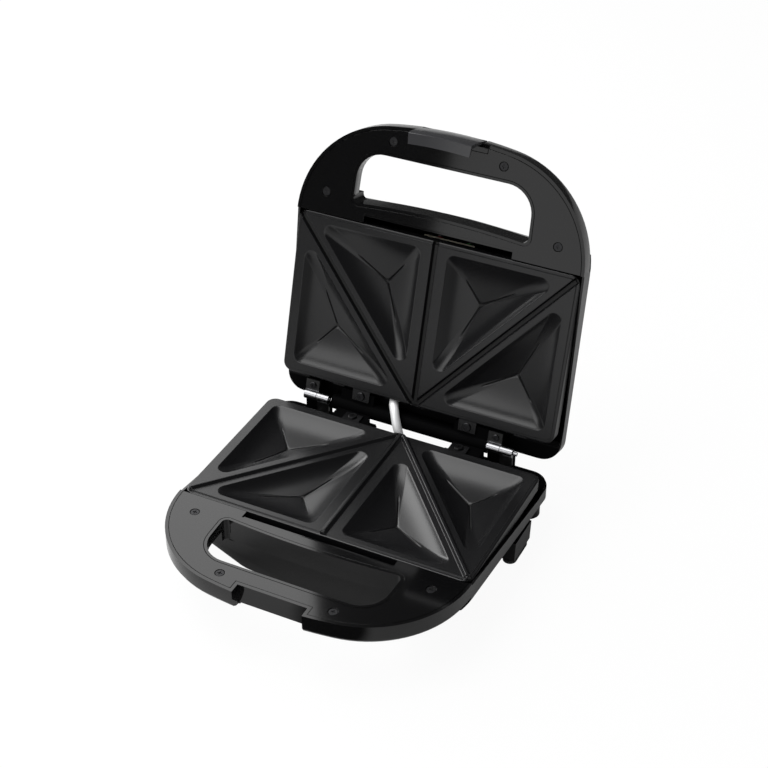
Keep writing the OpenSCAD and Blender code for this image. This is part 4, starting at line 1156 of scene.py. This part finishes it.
def make_floor(studio):
    """White to the camera apart from the object's shadow, and grey in reflections.

    A painted shadow, dark in reflections only, lies in front of the base's handle where the base casts its contact
    shadow."""
    bm = bmesh.new()
    bmesh.ops.create_grid(bm, x_segments=1, y_segments=1, size=FLOOR_SIDE / 2)
    floor = new_object("floor", mesh_from_bmesh("floor", bm))
    finish = Finish("White floor", (0.8, 0.8, 0.8), 0.9)
    finish.set("Base Color", finish.mix(finish.noise(3, 2), (0.79, 0.79, 0.79), (0.81, 0.81, 0.81)))
    path = finish.node("ShaderNodeLightPath")
    white = finish.node("ShaderNodeEmission", None, {"Color": (1, 1, 1, 1), "Strength": 1.0})
    x, y = (finish.place_along(axis) - middle for axis, middle in zip("XY", SHADOW_PATCH))
    away = (x * x + y * y) ** 0.5
    # Painted shadow: the floor goes dark in reflections near the front of the base's handle
    light = finish.between(away, SHADOW_PATCH_R * 0.8, SHADOW_PATCH_R * 1.2, SHADOW_PATCH_GREY, studio.floor)
    tone = finish.node("ShaderNodeCombineColor", None, {0: light, 1: light, 2: light})
    grey = finish.node("ShaderNodeBsdfDiffuse", None, {"Color": tone.outputs[0]})
    seen = finish.node("ShaderNodeMixShader", None, {
        0: finish.math("MULTIPLY", path.outputs["Is Camera Ray"], FLOOR_WHITE),
        1: finish.shader.outputs[0], 2: white.outputs[0],
    })
    mirrored = finish.node("ShaderNodeMixShader", None, {
        0: path.outputs["Is Glossy Ray"], 1: seen.outputs[0], 2: grey.outputs[0],
    })
    finish.links.new(mirrored.outputs[0], finish.nodes["Material Output"].inputs["Surface"])
    floor.data.materials.append(finish.material)


def make_world(studio):
    """Even light on every surface, dark walls in reflections, white to the camera."""
    world = bpy.data.worlds.new("Studio")
    bpy.context.scene.world = world
    world.use_nodes = True
    tree = world.node_tree
    path = tree.nodes.new("ShaderNodeLightPath")
    before = None
    for strength, ray in ((studio.fill, None), (studio.dark, "Is Glossy Ray"), (1.0, "Is Camera Ray")):
        light = tree.nodes.new("ShaderNodeBackground")
        light.inputs["Color"].default_value = (1, 1, 1, 1)
        light.inputs["Strength"].default_value = strength
        if before is None:
            before = light
            continue
        blend = tree.nodes.new("ShaderNodeMixShader")
        tree.links.new(path.outputs[ray], blend.inputs[0])
        tree.links.new(before.outputs[0], blend.inputs[1])
        tree.links.new(light.outputs[0], blend.inputs[2])
        before = blend
    tree.links.new(before.outputs[0], tree.nodes["World Output"].inputs["Surface"])


def point_at(piece, place, way):
    """Puts a lamp or camera at a place, looking this way."""
    piece.location = place
    piece.rotation_mode = "QUATERNION"
    piece.rotation_quaternion = way.to_track_quat("-Z", "Y")


def soft_box(name, place, aim, side, brightness):
    """Rectangular lamp of this brightness all over."""
    lamp = bpy.data.lights.new(name, "AREA")
    lamp.shape = "RECTANGLE"
    lamp.size, lamp.size_y = side
    lamp.energy = brightness * math.pi * side[0] * side[1]
    point_at(new_object(name, lamp), Vector(place), Vector(aim) - Vector(place))


def make_lamps(studio):
    soft_box("back_box", (-1.103, 0.992, 1.05), (-1.103, 0, 1.05), (1.0, 1.1), studio.back)
    soft_box("left_box", (-1.55, 0.5, 0.85), (0, 0, 0.1), (0.95, 1.0), studio.left)
    soft_box("over_box", (-0.7, -0.1, 1.45), (-0.7, -0.1, 0), (1.2, 1.3), studio.over)
    soft_box("high_box", (-0.75, -1.25, 1.0), (0, 0, 0.1), (0.9, 0.8), studio.high)
    soft_box("front_box", (0.04, -1.358, 0.3), (0.04, 0, 0.3), (1.2, 0.6), studio.front)


# Target of the camera in the frame, and its lens and sensor
CAMERA_TARGET = Vector((15.29, -6.53, 136.63)) * MM
FOCAL_PIXELS = 1698.9
IMAGE_SIDE = 768
SENSOR = 36.0


def make_camera(studio):
    camera = bpy.data.cameras.new("camera")
    camera.sensor_width = SENSOR
    camera.lens = FOCAL_PIXELS / IMAGE_SIDE * SENSOR
    camera.clip_start, camera.clip_end = 0.05, 20
    piece = new_object("camera", camera)
    a, e = studio.azimuth, studio.elevation
    back = Vector((math.sin(a) * math.cos(e), -math.cos(a) * math.cos(e), math.sin(e)))
    point_at(piece, CAMERA_TARGET + back * studio.distance, -back)
    bpy.context.scene.camera = piece
    bpy.context.scene.view_settings.view_transform = "Standard"


class TOASTER_PT_panel(bpy.types.Panel):
    """Lists the toaster's sizes, finishes and making steps"""

    bl_idname = "TOASTER_PT_panel"
    bl_label = "Sandwich toaster"
    bl_space_type = "VIEW_3D"
    bl_region_type = "UI"
    bl_category = "Toaster"

    def draw(self, context):
        for group in (context.scene.toaster_plates, context.scene.toaster_finishes,
                      context.scene.toaster_studio):
            box = self.layout.box()
            for key in group.bl_rna.properties.keys():
                if key not in ("rna_type", "name"):
                    box.prop(group, key)
        for operator in OPERATORS:
            self.layout.operator(operator.bl_idname)


GROUPS = (ToasterPlates, ToasterFinishes, ToasterStudio)
OPERATORS = (
    TOASTER_OT_stage, TOASTER_OT_plates, TOASTER_OT_shells, TOASTER_OT_hinges, TOASTER_OT_screws,
    TOASTER_OT_conduit, TOASTER_OT_fittings,
)


def register():
    for made in (*GROUPS, *OPERATORS, TOASTER_PT_panel):
        bpy.utils.register_class(made)
    bpy.types.Scene.toaster_plates = PointerProperty(type=ToasterPlates)
    bpy.types.Scene.toaster_finishes = PointerProperty(type=ToasterFinishes)
    bpy.types.Scene.toaster_studio = PointerProperty(type=ToasterStudio)


def unregister():
    for key in ("toaster_plates", "toaster_finishes", "toaster_studio"):
        delattr(bpy.types.Scene, key)
    for made in reversed((*GROUPS, *OPERATORS, TOASTER_PT_panel)):
        bpy.utils.unregister_class(made)


def main():
    register()
    for operator in OPERATORS:
        group, name = operator.bl_idname.split(".")
        getattr(getattr(bpy.ops, group), name)()


if __name__ == "__main__":
    main()
